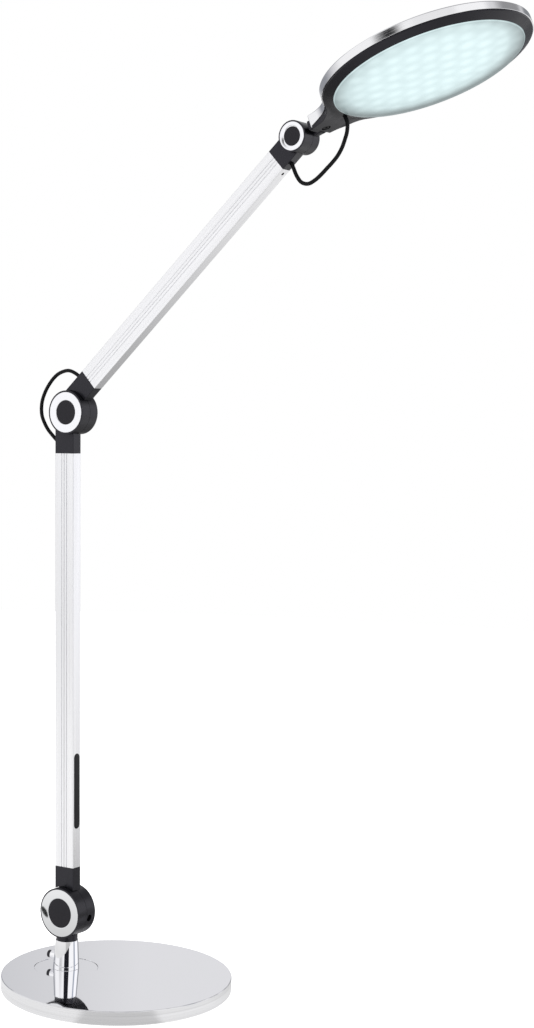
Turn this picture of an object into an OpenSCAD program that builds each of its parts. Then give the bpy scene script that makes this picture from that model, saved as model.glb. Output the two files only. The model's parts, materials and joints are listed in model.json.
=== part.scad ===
// Swing-arm table lamp with a round light head, in millimetres.
// The origin is the centre of the base on the table. +X is the way the arms reach, +Z is up,
// and the three tilt joints turn about axes along Y, with their polished rings on the -Y side.

/* [Base] */
// Diameter of the base disc
base_d = 220; // [200:1:250]
// Height of the base's top above the table
base_h = 14; // [13.5:0.5:18]
// Thickness of the shell's top
shell_top = 4; // [3.5:0.25:4.5]
// Thickness of the shell's rim
shell_rim = 3.5; // [2.5:0.25:5]
// Bevel along the shell's edges
shell_bevel = 0.8; // [0.4:0.1:1.2]
// Thickness of the bottom cover
cover_sheet = 1.5; // [1:0.1:1.8]
// Thickness of the rubber pad under the cover
pad_t = 1; // [0.8:0.1:1.4]
// Margin of the rubber pad inside the cover's edge
pad_margin = 2; // [1:0.5:6]
// Number of screws in the bottom cover
cover_screw_n = 4; // [3:1:6]
// Radius of the circle of cover screws
cover_screw_circle = 70; // [66:1:74]
// Thread diameter of the cover screws
cover_screw_d = 4; // [3:0.5:5]

/* [Post and swivel] */
// Post axis in front of the base's back edge
post_from_edge = 60; // [58:0.5:66]
// Post axis beside the centre of the base, towards the ring side
post_side = 15.5; // [0:0.5:16]
// Diameter of the post at its top
post_top_d = 21.8; // [21:0.2:24]
// Diameter of the post at its foot
post_foot_d = 25.2; // [24:0.2:28]
// Height of the post's top above the table
post_top_z = 41.7; // [41:0.1:44]
// Diameter of the swivel plate
swivel_d = 61; // [50:0.5:70]
// Thickness of the swivel plate
swivel_t = 1; // [0.8:0.1:1.5]
// Diameter of the spindle
spindle_d = 12; // [10:0.5:13]
// Top of the swivel plate below the base's top
swivel_sunk = 0.3; // [0.2:0.1:0.6]
// Diameter of the inlet's sleeve
inlet_d = 9; // [8.5:0.1:10]
// Height of the inlet's axis above the swivel plate
inlet_rise = 9.5; // [8.5:0.1:10]
// Reach of the inlet's sleeve behind the post axis
inlet_reach = 17.6; // [16.5:0.1:20]

/* [Arms] */
// Width of the arms, seen from the ring side
arm_w = 22.25; // [19:0.25:24]
// Depth of the arms along the joint axes
arm_d = 11.25; // [9.5:0.25:12.5]
// Wall of the extruded tubes
arm_wall = 1.4; // [1.2:0.1:1.8]
// Corner radius of the tubes
arm_corner = 0.6; // [0.5:0.1:1.5]
// Length of the lower tube
lower_tube_len = 397; // [340:1:440]
// Length of the upper tube
upper_tube_len = 282.5; // [240:0.5:340]
// Black stem between the lower joint's axis and its tube
lower_stem = 43.5; // [40:0.5:50]
// Black stem between the lower tube and the elbow's axis
elbow_low_stem = 39; // [37:0.5:44]
// Black stem between the elbow's axis and the upper tube
elbow_up_stem = 37.5; // [36:0.5:44]
// Black stem between the upper tube and the head joint's axis
head_stem = 27.7; // [27:0.1:33]
// Elbow axis in front of the lower arm's middle
elbow_front = 6.4; // [4:0.1:7]
// Upper arm's middle above the elbow axis
elbow_above = 7.6; // [5:0.1:8]
// Depth of the plugs inside the tubes
plug_len = 24; // [16:1:30]
// Length of the touch strip
strip_len = 72.5; // [50:0.5:90]
// Width of the touch strip
strip_w = 8.2; // [6:0.1:8.4]
// Start of the touch strip above the end of the tube
strip_start = 37.5; // [32:0.5:60]

/* [Pose] */
// Lean of the lower arm, forward positive
lower_lean = -2; // [-10:1:10]
// Upper arm's angle from upright
upper_angle = 46; // [40:1:50]
// Rise of the head's plane towards its front
head_rise = 23; // [15:1:30]

/* [Joint drums] */
// Height of the lower joint's axis above the table
lower_axis_z = 69.5; // [69.5:0.5:75]
// Radius of the lower drum
lower_drum_r = 24; // [23.5:0.1:24.2]
// Half the length of the lower drum
lower_drum_half = 12.2; // [11.5:0.1:14]
// Radius of the lower ring
lower_ring_r = 22.7; // [21:0.1:23]
// Radius of the lower cap
lower_cap_r = 13.9; // [12:0.1:15]
// Radius of the elbow's drum
elbow_drum_r = 20.7; // [20.2:0.1:21.5]
// Half the length of the elbow's drum
elbow_drum_half = 11.2; // [11:0.1:13]
// Radius of the elbow's ring
elbow_ring_r = 19.4; // [18:0.1:19.8]
// Radius of the elbow's cap
elbow_cap_r = 11.4; // [10:0.1:13]
// Radius of the head joint's drum
head_drum_r = 13.7; // [13.3:0.1:13.9]
// Half the length of the head joint's drum
head_drum_half = 11.8; // [11.2:0.1:13]
// Radius of the head joint's ring
head_ring_r = 12.7; // [11.5:0.1:12.9]
// Radius of the head joint's cap
head_cap_r = 8.2; // [7.6:0.1:9]
// Split of the head joint's drum behind its middle
head_split = 1.2; // [0:0.1:1.5]
// Bolt diameter of the lower joint and the elbow
arm_bolt_d = 8; // [6:0.5:8]
// Bolt diameter of the head joint
head_bolt_d = 6; // [5:0.5:6]

/* [Head] */
// Head joint's axis to the centre of the light disc
head_reach = 135.5; // [132:0.5:142]
// Radius of the light disc
head_r = 92.2; // [90:0.1:96]
// Radius of the lit face
glow_r = 83; // [80:0.5:84]
// Height of the cover's wall
cover_h = 7; // [6.5:0.25:9]
// Thickness of the cover
cover_t = 1.5; // [1.2:0.1:1.8]
// Split between tray and cover above the joint's axis
split_z = 1.3; // [0.5:0.1:1.6]
// Depth of the black bezel below the split, at the lit face
bezel_h = 5.3; // [4.9:0.1:5.7]
// Upright edge of the bezel below the split, before it slopes to the lit face
bezel_edge = 0.7; // [0.5:0.1:1.2]
// Height of the tray's floor above the bezel's lowest edge
tray_t = 4.1; // [3.8:0.1:4.4]
// Bulge of the diffuser below the bezel
dome_h = 3.5; // [2:0.25:5]
// Wall of the diffuser
dome_wall = 1.5; // [1.2:0.1:2]
// Width of the neck at its end
neck_w = 30; // [28:0.5:34]
// Head joint's axis to the neck's end
neck_x = 21.5; // [20.5:0.1:23]
// Extra depth of the neck's underside
keel_h = 0.3; // [0.2:0.1:1.2]
// Pitch of the LED grid
led_pitch = 18; // [15:0.5:24]

/* [Hidden] */
$fn = 96;

// Clearances: a fixed fit, a bore that turns, a drum face, and a stem round the other drum
fit = 0.05;
run = 0.05;
drum_gap = 0.3;
swing_gap = 0.4;
// Overshoot of cuts through a face
past = 1;

// Colours of the finishes
chrome = [0.85, 0.86, 0.88];
bright_alu = [0.9, 0.9, 0.92];
satin_black = [0.09, 0.09, 0.1];
steel = [0.6, 0.61, 0.63];
iron = [0.3, 0.3, 0.32];
rubber = [0.05, 0.05, 0.05];
milky = [0.88, 0.96, 0.97];
white = [0.95, 0.95, 0.94];
board_green = [0.2, 0.35, 0.25];

// Joints as [drum radius, half length, ring radius, cap radius, bolt diameter, split]
lower_joint = [lower_drum_r, lower_drum_half, lower_ring_r, lower_cap_r, arm_bolt_d, 0];
elbow_joint = [elbow_drum_r, elbow_drum_half, elbow_ring_r, elbow_cap_r, arm_bolt_d, 0];
head_joint = [head_drum_r, head_drum_half, head_ring_r, head_cap_r, head_bolt_d, head_split];
function drum_r(j) = j[0];
function half(j) = j[1];
function ring_r(j) = j[2];
function cap_r(j) = j[3];
function bolt_d(j) = j[4];
function front_face(j) = j[5] - drum_gap / 2;
function rear_face(j) = j[5] + drum_gap / 2;

// Hardware of the joints
drum_bevel = 0.8;
trim_t = 1.2;
ring_proud = 0.4;
ring_bevel = 0.3;
bolt_head_h = 2.2;
friction_t = 1;
spring_t = 0.8;
nut_t = 3;
nut_room = 0.4;
nut_side_room = 0.5;
bolt_head_ratio = 0.85;
bolt_socket_ratio = 0.4;
nut_ratio = 0.94;
friction_over = 1.5;
function bolt_head_r(j) = bolt_head_ratio * bolt_d(j);
function nut_r(j) = nut_ratio * bolt_d(j);
function nut_pocket_r(j) = nut_r(j) + nut_side_room;
function friction_r(j) = cap_r(j) + friction_over;
function nut_floor(j) = half(j) - trim_t - nut_room - nut_t - spring_t;
function bolt_seat(j) = -half(j) + trim_t + bolt_head_h;

// Place of the post behind the base's centre, and of the axes from the post's foot
post_back = base_d / 2 - post_from_edge;
lower_len = lower_stem + lower_tube_len + elbow_low_stem;
upper_len = elbow_up_stem + upper_tube_len + head_stem;
elbow_pos = [lower_len * sin(lower_lean) + elbow_front * cos(lower_lean), 0,
    lower_axis_z + lower_len * cos(lower_lean) - elbow_front * sin(lower_lean)];
head_pos = elbow_pos + [upper_len * sin(upper_angle) - elbow_above * cos(upper_angle), 0,
    upper_len * cos(upper_angle) + elbow_above * sin(upper_angle)];

module at_post() { translate([-post_back, -post_side, 0]) children(); }
module at_lower() { at_post() translate([0, 0, lower_axis_z]) rotate([0, lower_lean, 0]) children(); }
module at_elbow() { at_lower() translate([elbow_front, 0, lower_len]) children(); }
module at_upper() { at_post() translate(elbow_pos) rotate([0, upper_angle, 0]) children(); }
module at_head_axis() { at_upper() translate([-elbow_above, 0, upper_len]) children(); }
module at_head() { at_post() translate(head_pos) rotate([0, -head_rise, 0]) children(); }

// Children stand on the plane y = y0 and rise along +Y
module along_y(y0) { translate([0, y0, 0]) rotate([-90, 0, 0]) children(); }
// Children stand on the plane x = x0 and rise along +X
module along_x(x0) { translate([x0, 0, 0]) rotate([0, 90, 0]) children(); }

module tube_y(r, y0, y1) { along_y(y0) cylinder(r = r, h = y1 - y0); }
module box_to(low, high) { translate(low) cube(high - low); }

// Disc of radius r and height h with both edges bevelled
module bevelled_disc(r, h, bevel) {
    rotate_extrude() polygon([[0, 0], [r - bevel, 0], [r, bevel], [r, h - bevel], [r - bevel, h], [0, h]]);
}

module washer(outer_r, inner_r, h) {
    difference() {
        cylinder(r = outer_r, h = h);
        translate([0, 0, -past]) cylinder(r = inner_r, h = h + 2 * past);
    }
}

// Base
pocket_r = base_d / 2 - shell_rim;
ceiling_z = base_h - shell_top;
floor_z = pad_t + cover_sheet;
boss_wall = 2.5;
boss_r = cover_screw_d / 2 + boss_wall;
boss_room = 1;
first_screw = 45;
flat_head_ratio = 0.9;
screw_head_r = cover_screw_d * flat_head_ratio;
screw_engage = 5;
bush_flange_w = 8;
bush_flange_r = spindle_d / 2 + bush_flange_w;
bush_flange_t = 1.2;
bush_wall = 2;
bush_sleeve_r = spindle_d / 2 + bush_wall;
bush_proud = 0.2;
swivel_side = 0.3;
plate_z = base_h - swivel_sunk - swivel_t;
bush_flange_z = plate_z - bush_flange_t;
swivel_washer_w = 6;
swivel_washer_r = spindle_d / 2 + swivel_washer_w;
swivel_washer_t = 1;
swivel_nut_r = spindle_d * nut_ratio;
swivel_nut_t = 4;
spindle_below = 0.6;
spindle_low_z = ceiling_z - swivel_washer_t - swivel_nut_t - spindle_below;
ballast_room = 2;
ballast_hole_r = max(swivel_nut_r, swivel_washer_r) + ballast_room;
ballast_gap = 0.2;
ballast_side = 0.5;
cover_side = 0.2;

module on_screw_circle() {
    for (i = [0 : cover_screw_n - 1])
        rotate([0, 0, first_screw + i * 360 / cover_screw_n])
            translate([cover_screw_circle, 0, 0]) children();
}

module base_shell() {
    r = base_d / 2;
    color(chrome) difference() {
        union() {
            difference() {
                translate([0, 0, pad_t]) bevelled_disc(r, base_h - pad_t, shell_bevel);
                translate([0, 0, pad_t - past]) cylinder(r = pocket_r, h = ceiling_z - pad_t + past);
            }
            on_screw_circle() translate([0, 0, floor_z])
                cylinder(r = boss_r, h = ceiling_z - floor_z + past);
        }
        on_screw_circle() translate([0, 0, floor_z - past])
            cylinder(r = cover_screw_d / 2 + fit, h = screw_engage + 2 * past);
        at_post() translate([0, 0, ceiling_z - past])
            cylinder(r = bush_sleeve_r + fit, h = shell_top + 2 * past);
        at_post() translate([0, 0, bush_flange_z]) cylinder(r = bush_flange_r + fit, h = bush_flange_t);
        at_post() translate([0, 0, plate_z - bush_proud])
            cylinder(r = swivel_d / 2 + swivel_side, h = base_h - plate_z + bush_proud + past);
    }
}

module ballast() {
    color(iron) difference() {
        translate([0, 0, floor_z])
            cylinder(r = pocket_r - ballast_side, h = ceiling_z - floor_z - ballast_gap);
        at_post() cylinder(r = ballast_hole_r, h = base_h);
        on_screw_circle() cylinder(r = boss_r + boss_room, h = base_h);
    }
}

module base_cover() {
    color(iron) difference() {
        translate([0, 0, pad_t]) cylinder(r = pocket_r - cover_side, h = cover_sheet);
        on_screw_circle() {
            cylinder(r = cover_screw_d / 2 + fit, h = base_h);
            translate([0, 0, pad_t])
                cylinder(r1 = screw_head_r + fit, r2 = cover_screw_d / 2 + fit, h = cover_sheet);
        }
    }
}

module base_pad() {
    color(rubber) cylinder(r = pocket_r - cover_side - pad_margin, h = pad_t);
}

module cover_screws() {
    color(steel) on_screw_circle() {
        translate([0, 0, pad_t]) cylinder(r1 = screw_head_r, r2 = cover_screw_d / 2, h = cover_sheet);
        translate([0, 0, pad_t + cover_sheet / 2])
            cylinder(d = cover_screw_d, h = cover_sheet / 2 + screw_engage);
    }
}

module swivel_bush() {
    color(satin_black) at_post() difference() {
        union() {
            translate([0, 0, bush_flange_z]) cylinder(r = bush_flange_r, h = bush_flange_t);
            translate([0, 0, ceiling_z])
                cylinder(r = bush_sleeve_r, h = bush_flange_z - ceiling_z + bush_flange_t / 2);
        }
        cylinder(d = spindle_d + 2 * run, h = 2 * base_h);
    }
}

// Post
post_z = plate_z + swivel_t;
post_wall = 3.2;
spigot_d = post_top_d - 2 * post_wall;
spigot_len = 12;
spindle_room = 2;
spindle_top_z = post_top_z - spigot_len - spindle_room;
post_bevel = 0.5;
inlet_z = post_z + inlet_rise;
inlet_floor = 2.4;
inlet_seat = spindle_d / 2 + inlet_floor;
sleeve_wall = 0.9;
socket_d = inlet_d - 2 * sleeve_wall;
socket_proud = 4.1;
socket_len = 11;
socket_wall = 1.1;
socket_bore_d = socket_d - 2 * socket_wall;
socket_depth = 8;
inlet_pin_d = 1.3;
inlet_pin_len = 7;

module swivel_plate() {
    bevel = 0.3;
    color(chrome) at_post() difference() {
        translate([0, 0, plate_z]) bevelled_disc(swivel_d / 2, swivel_t, bevel);
        cylinder(d = spindle_d + 2 * fit, h = 2 * base_h);
    }
}

module post() {
    top_r = post_top_d / 2;
    color(chrome) at_post() difference() {
        rotate_extrude() polygon([[0, post_z], [post_foot_d / 2, post_z], [top_r, post_top_z - post_bevel],
            [top_r - post_bevel, post_top_z], [0, post_top_z]]);
        cylinder(d = spindle_d + 2 * fit, h = spindle_top_z);
        translate([0, 0, post_top_z - spigot_len]) cylinder(d = spigot_d + 2 * fit, h = spigot_len + past);
        translate([0, 0, inlet_z]) along_x(-inlet_reach)
            cylinder(d = inlet_d + 2 * fit, h = inlet_reach - inlet_seat);
    }
}

module spindle() {
    color(steel) at_post() translate([0, 0, spindle_low_z])
        cylinder(d = spindle_d, h = spindle_top_z - spindle_low_z);
}

module swivel_washer() {
    color(steel) at_post() translate([0, 0, ceiling_z - swivel_washer_t])
        washer(swivel_washer_r, spindle_d / 2 + fit, swivel_washer_t);
}

module swivel_nut() {
    color(steel) at_post() translate([0, 0, ceiling_z - swivel_washer_t - swivel_nut_t]) difference() {
        cylinder(r = swivel_nut_r, h = swivel_nut_t, $fn = 6);
        translate([0, 0, -past]) cylinder(d = spindle_d + 2 * fit, h = swivel_nut_t + 2 * past);
    }
}

module at_inlet() { at_post() translate([0, 0, inlet_z]) children(); }
socket_end = inlet_reach + socket_proud;
socket_start = socket_end - socket_len;

module inlet_sleeve() {
    color(chrome) at_inlet() difference() {
        along_x(-inlet_reach) cylinder(d = inlet_d, h = inlet_reach - inlet_seat);
        along_x(-inlet_reach - past) cylinder(d = socket_d + 2 * fit, h = inlet_reach + past - socket_start);
    }
}

module inlet_socket() {
    color(satin_black) at_inlet() difference() {
        along_x(-socket_end) cylinder(d = socket_d, h = socket_len);
        along_x(-socket_end - past) cylinder(d = socket_bore_d, h = socket_depth + past);
        along_x(-socket_end) cylinder(d = inlet_pin_d + 2 * fit, h = socket_len - past);
    }
}

module inlet_pin() {
    color(steel) at_inlet() along_x(-socket_start - past - inlet_pin_len)
        cylinder(d = inlet_pin_d, h = inlet_pin_len);
}

// Joint drums: the lower piece of each joint holds the front drum, the upper piece the rear drum
module front_drum(j) {
    along_y(-half(j)) bevelled_disc(drum_r(j), front_face(j) + half(j), drum_bevel);
}

module rear_drum(j) {
    along_y(rear_face(j)) bevelled_disc(drum_r(j), half(j) - rear_face(j), drum_bevel);
}

// Room for the trim, the bolt and the friction washer, and for the rear drum to turn in
module front_cuts(j) {
    tube_y(ring_r(j) + fit, -half(j) - past, -half(j) + trim_t);
    tube_y(bolt_head_r(j) + fit, -half(j), bolt_seat(j));
    tube_y(bolt_d(j) / 2 + fit, -half(j), half(j));
    tube_y(friction_r(j) + fit, front_face(j) - friction_t + drum_gap, front_face(j) + past);
    tube_y(drum_r(j) + swing_gap, front_face(j), 3 * half(j));
}

// Room for the rear cap and the nut, and for the front drum to turn in
module rear_cuts(j) {
    tube_y(drum_r(j) + swing_gap, -3 * half(j), rear_face(j));
    tube_y(bolt_d(j) / 2 + run, 0, half(j));
    tube_y(nut_pocket_r(j), nut_floor(j), half(j));
    tube_y(cap_r(j) + fit, half(j) - trim_t, half(j) + past);
}

module trim_ring(j) {
    h = trim_t + ring_proud;
    inner = cap_r(j) + fit;
    outer = ring_r(j);
    color(chrome) along_y(-half(j) - ring_proud) rotate_extrude()
        polygon([[inner, ring_bevel], [inner + ring_bevel, 0], [outer - ring_bevel, 0], [outer, ring_bevel],
            [outer, h], [inner, h]]);
}

module trim_cap(j, y0) {
    color(satin_black) along_y(y0) cylinder(r = cap_r(j), h = trim_t);
}

module joint_bolt(j) {
    socket_r = bolt_socket_ratio * bolt_d(j);
    color(steel) difference() {
        union() {
            tube_y(bolt_head_r(j), bolt_seat(j) - bolt_head_h, bolt_seat(j));
            tube_y(bolt_d(j) / 2, bolt_seat(j) - bolt_head_h / 2, nut_floor(j) + spring_t + nut_t);
        }
        along_y(bolt_seat(j) - bolt_head_h - past)
            cylinder(r = socket_r, h = bolt_head_h / 2 + past, $fn = 6);
    }
}

module friction_washer(j) {
    color(white) along_y(rear_face(j) - friction_t) washer(friction_r(j), bolt_d(j) / 2 + fit, friction_t);
}

module spring_washer(j) {
    color(steel) along_y(nut_floor(j)) washer(nut_r(j), bolt_d(j) / 2 + fit, spring_t);
}

module joint_nut(j) {
    color(steel) along_y(nut_floor(j) + spring_t) difference() {
        cylinder(r = nut_r(j), h = nut_t, $fn = 6);
        translate([0, 0, -past]) cylinder(r = bolt_d(j) / 2 + fit, h = nut_t + 2 * past);
    }
}

// Arms
plug_gap = 0.1;
yoke_step = 0.6;
groove_w = 0.7;
groove_depth = 0.45;
groove_step = 3;
strip_proud = 0.3;
board_t = 1.2;
board_over = 6;
grub_d = 3;
grub_len = 5;
tube_grub_from_end = 5;
drum_grub_d = 5;
drum_grub_len = 5;
drum_grub_deep = 3;
drum_grub_dip = 10;
drum_grub_y = 4.2;

// Rectangle with round corners, centred
module round_rect(w, d, r) {
    square([w - 2 * r, d], center = true);
    square([w, d - 2 * r], center = true);
    for (x = [-1, 1], y = [-1, 1]) translate([x * (w / 2 - r), y * (d / 2 - r)]) circle(r = r);
}

module tube_section() {
    difference() {
        round_rect(arm_w, arm_d, arm_corner);
        square([arm_w - 2 * arm_wall, arm_d - 2 * arm_wall], center = true);
        for (x = [-1, 0, 1], y = [-1, 1]) translate([x * groove_step, y * arm_d / 2])
            square([groove_w, 2 * groove_depth], center = true);
    }
}

// Black stem from z0 to z1 in the arm's section
module stem(z0, z1) {
    translate([0, 0, z0]) linear_extrude(z1 - z0) round_rect(arm_w, arm_d, arm_corner);
}

// Plug that fills the tube's hollow from z0 to z1
module plug(z0, z1) {
    w = arm_w - 2 * arm_wall - 2 * plug_gap;
    d = arm_d - 2 * arm_wall - 2 * plug_gap;
    translate([-w / 2, -d / 2, z0]) cube([w, d, z1 - z0]);
}

// Radial hole or screw in a drum's front side, dipping below the level line
module at_drum_grub() { translate([0, drum_grub_y, 0]) rotate([0, drum_grub_dip, 0]) children(); }
drum_grub_out = lower_drum_r - drum_grub_deep;

module lower_yoke() {
    neck_low = post_top_z - lower_axis_z;
    neck_d = post_top_d - 2 * yoke_step;
    color(satin_black) at_post() translate([0, 0, lower_axis_z]) difference() {
        union() {
            front_drum(lower_joint);
            translate([0, 0, neck_low]) cylinder(d = neck_d, h = -neck_low / 2);
            translate([0, 0, neck_low - spigot_len]) cylinder(d = spigot_d, h = spigot_len + past);
        }
        front_cuts(lower_joint);
    }
}

module lower_foot() {
    color(satin_black) at_lower() difference() {
        union() {
            rear_drum(lower_joint);
            stem(0, lower_stem);
            plug(lower_stem - past, lower_stem + plug_len);
        }
        rear_cuts(lower_joint);
        at_drum_grub() along_x(drum_grub_out - drum_grub_len)
            cylinder(d = drum_grub_d + 2 * fit, h = lower_drum_r);
    }
}

module drum_grub() {
    socket_r = drum_grub_d / 4;
    color(steel) at_lower() at_drum_grub() difference() {
        along_x(drum_grub_out - drum_grub_len) cylinder(d = drum_grub_d, h = drum_grub_len);
        along_x(drum_grub_out - drum_grub_len / 2) cylinder(r = socket_r, h = drum_grub_len, $fn = 6);
    }
}

// Slot with round ends on the tube's front face, from x0 to x1
module strip_slot(x0, x1, gap) {
    r = strip_w / 2 + gap;
    low = lower_stem + strip_start + strip_w / 2;
    high = lower_stem + strip_start + strip_len - strip_w / 2;
    for (z = [low, high]) translate([0, 0, z]) along_x(x0) cylinder(r = r, h = x1 - x0);
    box_to([x0, -r, low], [x1, r, high]);
}

module lower_tube() {
    color(bright_alu) at_lower() difference() {
        translate([0, 0, lower_stem]) linear_extrude(lower_tube_len) tube_section();
        strip_slot(0, arm_w, fit);
    }
}

module touch_strip() {
    color(satin_black) at_lower() strip_slot(arm_w / 2 - arm_wall, arm_w / 2 + strip_proud, 0);
}

module touch_board() {
    d = arm_d - 2 * arm_wall - 2 * plug_gap;
    back = arm_w / 2 - arm_wall;
    z0 = lower_stem + strip_start - board_over;
    color(board_green) at_lower() box_to([back - board_t, -d / 2, z0],
        [back, d / 2, z0 + strip_len + 2 * board_over]);
}

module elbow_yoke() {
    tube_end = lower_stem + lower_tube_len;
    color(satin_black) difference() {
        at_lower() difference() {
            union() {
                translate([elbow_front, 0, lower_len]) front_drum(elbow_joint);
                stem(tube_end, lower_len);
                plug(tube_end - plug_len, tube_end + past);
            }
            translate([elbow_front, 0, lower_len]) front_cuts(elbow_joint);
        }
        at_post() translate(elbow_pos) cable_hole(elbow_route[0], elbow_route[1]);
    }
}

module upper_foot() {
    last = len(elbow_route) - 1;
    color(satin_black) difference() {
        at_upper() difference() {
            union() {
                rear_drum(elbow_joint);
                translate([-elbow_above, 0, 0]) stem(0, elbow_up_stem);
                translate([-elbow_above, 0, 0]) plug(elbow_up_stem - past, elbow_up_stem + plug_len);
            }
            rear_cuts(elbow_joint);
        }
        at_post() translate(elbow_pos) cable_hole(elbow_route[last], elbow_route[last - 1]);
    }
}

module at_tube_grub() {
    at_upper() translate([-elbow_above, 0, elbow_up_stem + upper_tube_len - tube_grub_from_end])
        along_x(arm_w / 2 - grub_len) children();
}

module upper_tube() {
    color(bright_alu) difference() {
        at_upper() translate([-elbow_above, 0, elbow_up_stem]) linear_extrude(upper_tube_len) tube_section();
        at_tube_grub() cylinder(d = grub_d + 2 * fit, h = 2 * grub_len);
    }
}

module tube_grub() {
    socket_r = grub_d / 4;
    color(steel) at_tube_grub() difference() {
        cylinder(d = grub_d, h = grub_len);
        translate([0, 0, grub_len / 2]) cylinder(r = socket_r, h = grub_len, $fn = 6);
    }
}

module head_yoke() {
    tube_end = elbow_up_stem + upper_tube_len;
    color(satin_black) difference() {
        at_upper() translate([-elbow_above, 0, 0]) difference() {
            union() {
                translate([0, 0, upper_len]) front_drum(head_joint);
                stem(tube_end, upper_len);
                plug(tube_end - plug_len, tube_end + past);
            }
            translate([0, 0, upper_len]) front_cuts(head_joint);
        }
        at_tube_grub() cylinder(d = grub_d + 2 * fit, h = 2 * grub_len);
        at_post() translate(head_pos) cable_hole(head_route[0], head_route[2]);
    }
}

// Head, in its own frame: x runs from the joint's axis to the disc, z is square to the disc
bezel_z = split_z - bezel_h;
bezel_edge_z = split_z - bezel_edge;
keel_z = bezel_z - keel_h;
tray_z = bezel_z + tray_t;
cover_top = split_z + cover_h;
ceiling_head = cover_top - cover_t;
lip_gap = 0.15;
lip_t = 1.5;
lip_h = 3;
glow_gap = 0.2;
flange_over = 2;
flange_t = 1.4;
pad_thick = 0.5;
led_board_t = 1.2;
led_size = [3.5, 2.8, 0.8];
led_margin = 2;
board_r = glow_r - 5;
board_z = ceiling_head - pad_thick - led_board_t;
flange_plate = 3.5;
flange_side = 3;
flange_low = -3.5;
flange_below = 3;
bracket_low = -4.2;
bracket_in = 1.8;
flange_high = cover_top - flange_below;
tongue_w = 18;
tongue_t = 3.5;
tongue_end = 42;
tongue_gap = 0.2;
neck_screw_x = 28;
neck_screw_d = 3;
neck_screw_head_d = 5.6;
neck_screw_head_h = 1.8;
neck_screw_room = 0.4;
neck_socket_deep = 1;
neck_screw_engage = 1.8;
neck_head_sunk = 0.2;
neck_seat_z = keel_z + neck_head_sunk + neck_screw_head_h;
neck_boss_d = 8;
neck_hole_over = 0.1;
keel_flat = 16;
keel_run = 24.5;

neck_half = neck_w / 2;
neck_span = head_reach - neck_x;
neck_fillet = (neck_span * neck_span + neck_half * neck_half - head_r * head_r) / (2 * (head_r - neck_half));

// Outline of the head, drawn in by an inset: the disc, and a neck that leaves it in two hollow arcs
neck_centre_y = neck_half + neck_fillet;
neck_meet = atan2(neck_centre_y, neck_span);
neck_steps = 12;
disc_steps = 120;
function neck_arc(inset, side) = let (r = neck_fillet + inset, first = asin(inset / r) - 90)
    [for (i = [0 : neck_steps]) let (a = first - (neck_meet + first) * i / neck_steps)
        [neck_x + r * cos(a), side * (neck_centre_y + r * sin(a))]];
function disc_arc(inset) = let (r = head_r - inset)
    [for (i = [1 : disc_steps - 1]) let (a = (180 - neck_meet) * (1 - 2 * i / disc_steps))
        [head_reach + r * cos(a), r * sin(a)]];
function reversed(list) = [for (i = [len(list) - 1 : -1 : 0]) list[i]];

module head_outline(inset) {
    polygon(concat(neck_arc(inset, 1), disc_arc(inset), reversed(neck_arc(inset, -1))));
}

module head_slab(inset, z0, z1) { translate([0, 0, z0]) linear_extrude(z1 - z0) head_outline(inset); }

// Way through the neck's end for the bracket's tongue
module tongue_slot() {
    box_to([neck_x - past, -tongue_w / 2 - tongue_gap, tray_z],
        [neck_x + 2 * (cover_t + lip_t + past), tongue_w / 2 + tongue_gap, tray_z + tongue_t + tongue_gap]);
}

module at_neck_screw(z) { translate([neck_screw_x, 0, z]) children(); }

// Neck's underside, deep at the joint and rising to the bezel's upright edge
module keel() {
    flat_end = neck_x + keel_flat;
    intersection() {
        head_slab(0, keel_z, split_z);
        translate([0, head_r, 0]) rotate([90, 0, 0]) linear_extrude(2 * head_r)
            polygon([[neck_x - past, split_z], [neck_x - past, keel_z], [flat_end, keel_z],
                [flat_end + keel_run, bezel_edge_z], [flat_end + keel_run, split_z]]);
    }
}

// Material below the bezel's slope, from the lit face's rim up to the upright edge
module below_bezel() {
    inner = glow_r + glow_gap;
    rise = (bezel_edge_z - bezel_z) / (head_r - inner);
    translate([head_reach, 0, 0]) rotate_extrude($fn = 180)
        polygon([[inner - past, bezel_z - rise * past], [inner - past, keel_z - past],
            [head_r + past, keel_z - past], [head_r + past, bezel_edge_z + rise * past]]);
}

module head_tray() {
    rim = cover_t + lip_gap + lip_t;
    last = len(head_route) - 1;
    color(satin_black) difference() {
        at_head() difference() {
            union() {
                difference() {
                    head_slab(0, bezel_z, split_z);
                    below_bezel();
                }
                head_slab(cover_t + lip_gap, split_z - past, split_z + lip_h);
                keel();
            }
            head_slab(rim, tray_z, split_z + lip_h + past);
            translate([head_reach, 0, bezel_z - past]) cylinder(r = glow_r + glow_gap, h = bezel_h + past);
            tongue_slot();
            at_neck_screw(keel_z - past) {
                cylinder(d = neck_screw_d + neck_screw_room, h = tray_z - keel_z + 2 * past);
                cylinder(d = neck_screw_head_d + neck_screw_room, h = neck_seat_z - keel_z + past);
            }
        }
        at_post() translate(head_pos) cable_hole(head_route[last], head_route[last - 2]);
    }
}

module head_cover() {
    boss_low = tray_z + tongue_t;
    color(bright_alu) at_head() difference() {
        union() {
            difference() {
                head_slab(0, split_z, cover_top);
                head_slab(cover_t, split_z - past, ceiling_head);
                tongue_slot();
            }
            at_neck_screw(boss_low) cylinder(d = neck_boss_d, h = ceiling_head - boss_low + cover_t / 2);
        }
        at_neck_screw(boss_low - past)
            cylinder(d = neck_screw_d + 2 * fit, h = past + neck_screw_engage + neck_hole_over);
    }
}

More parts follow.
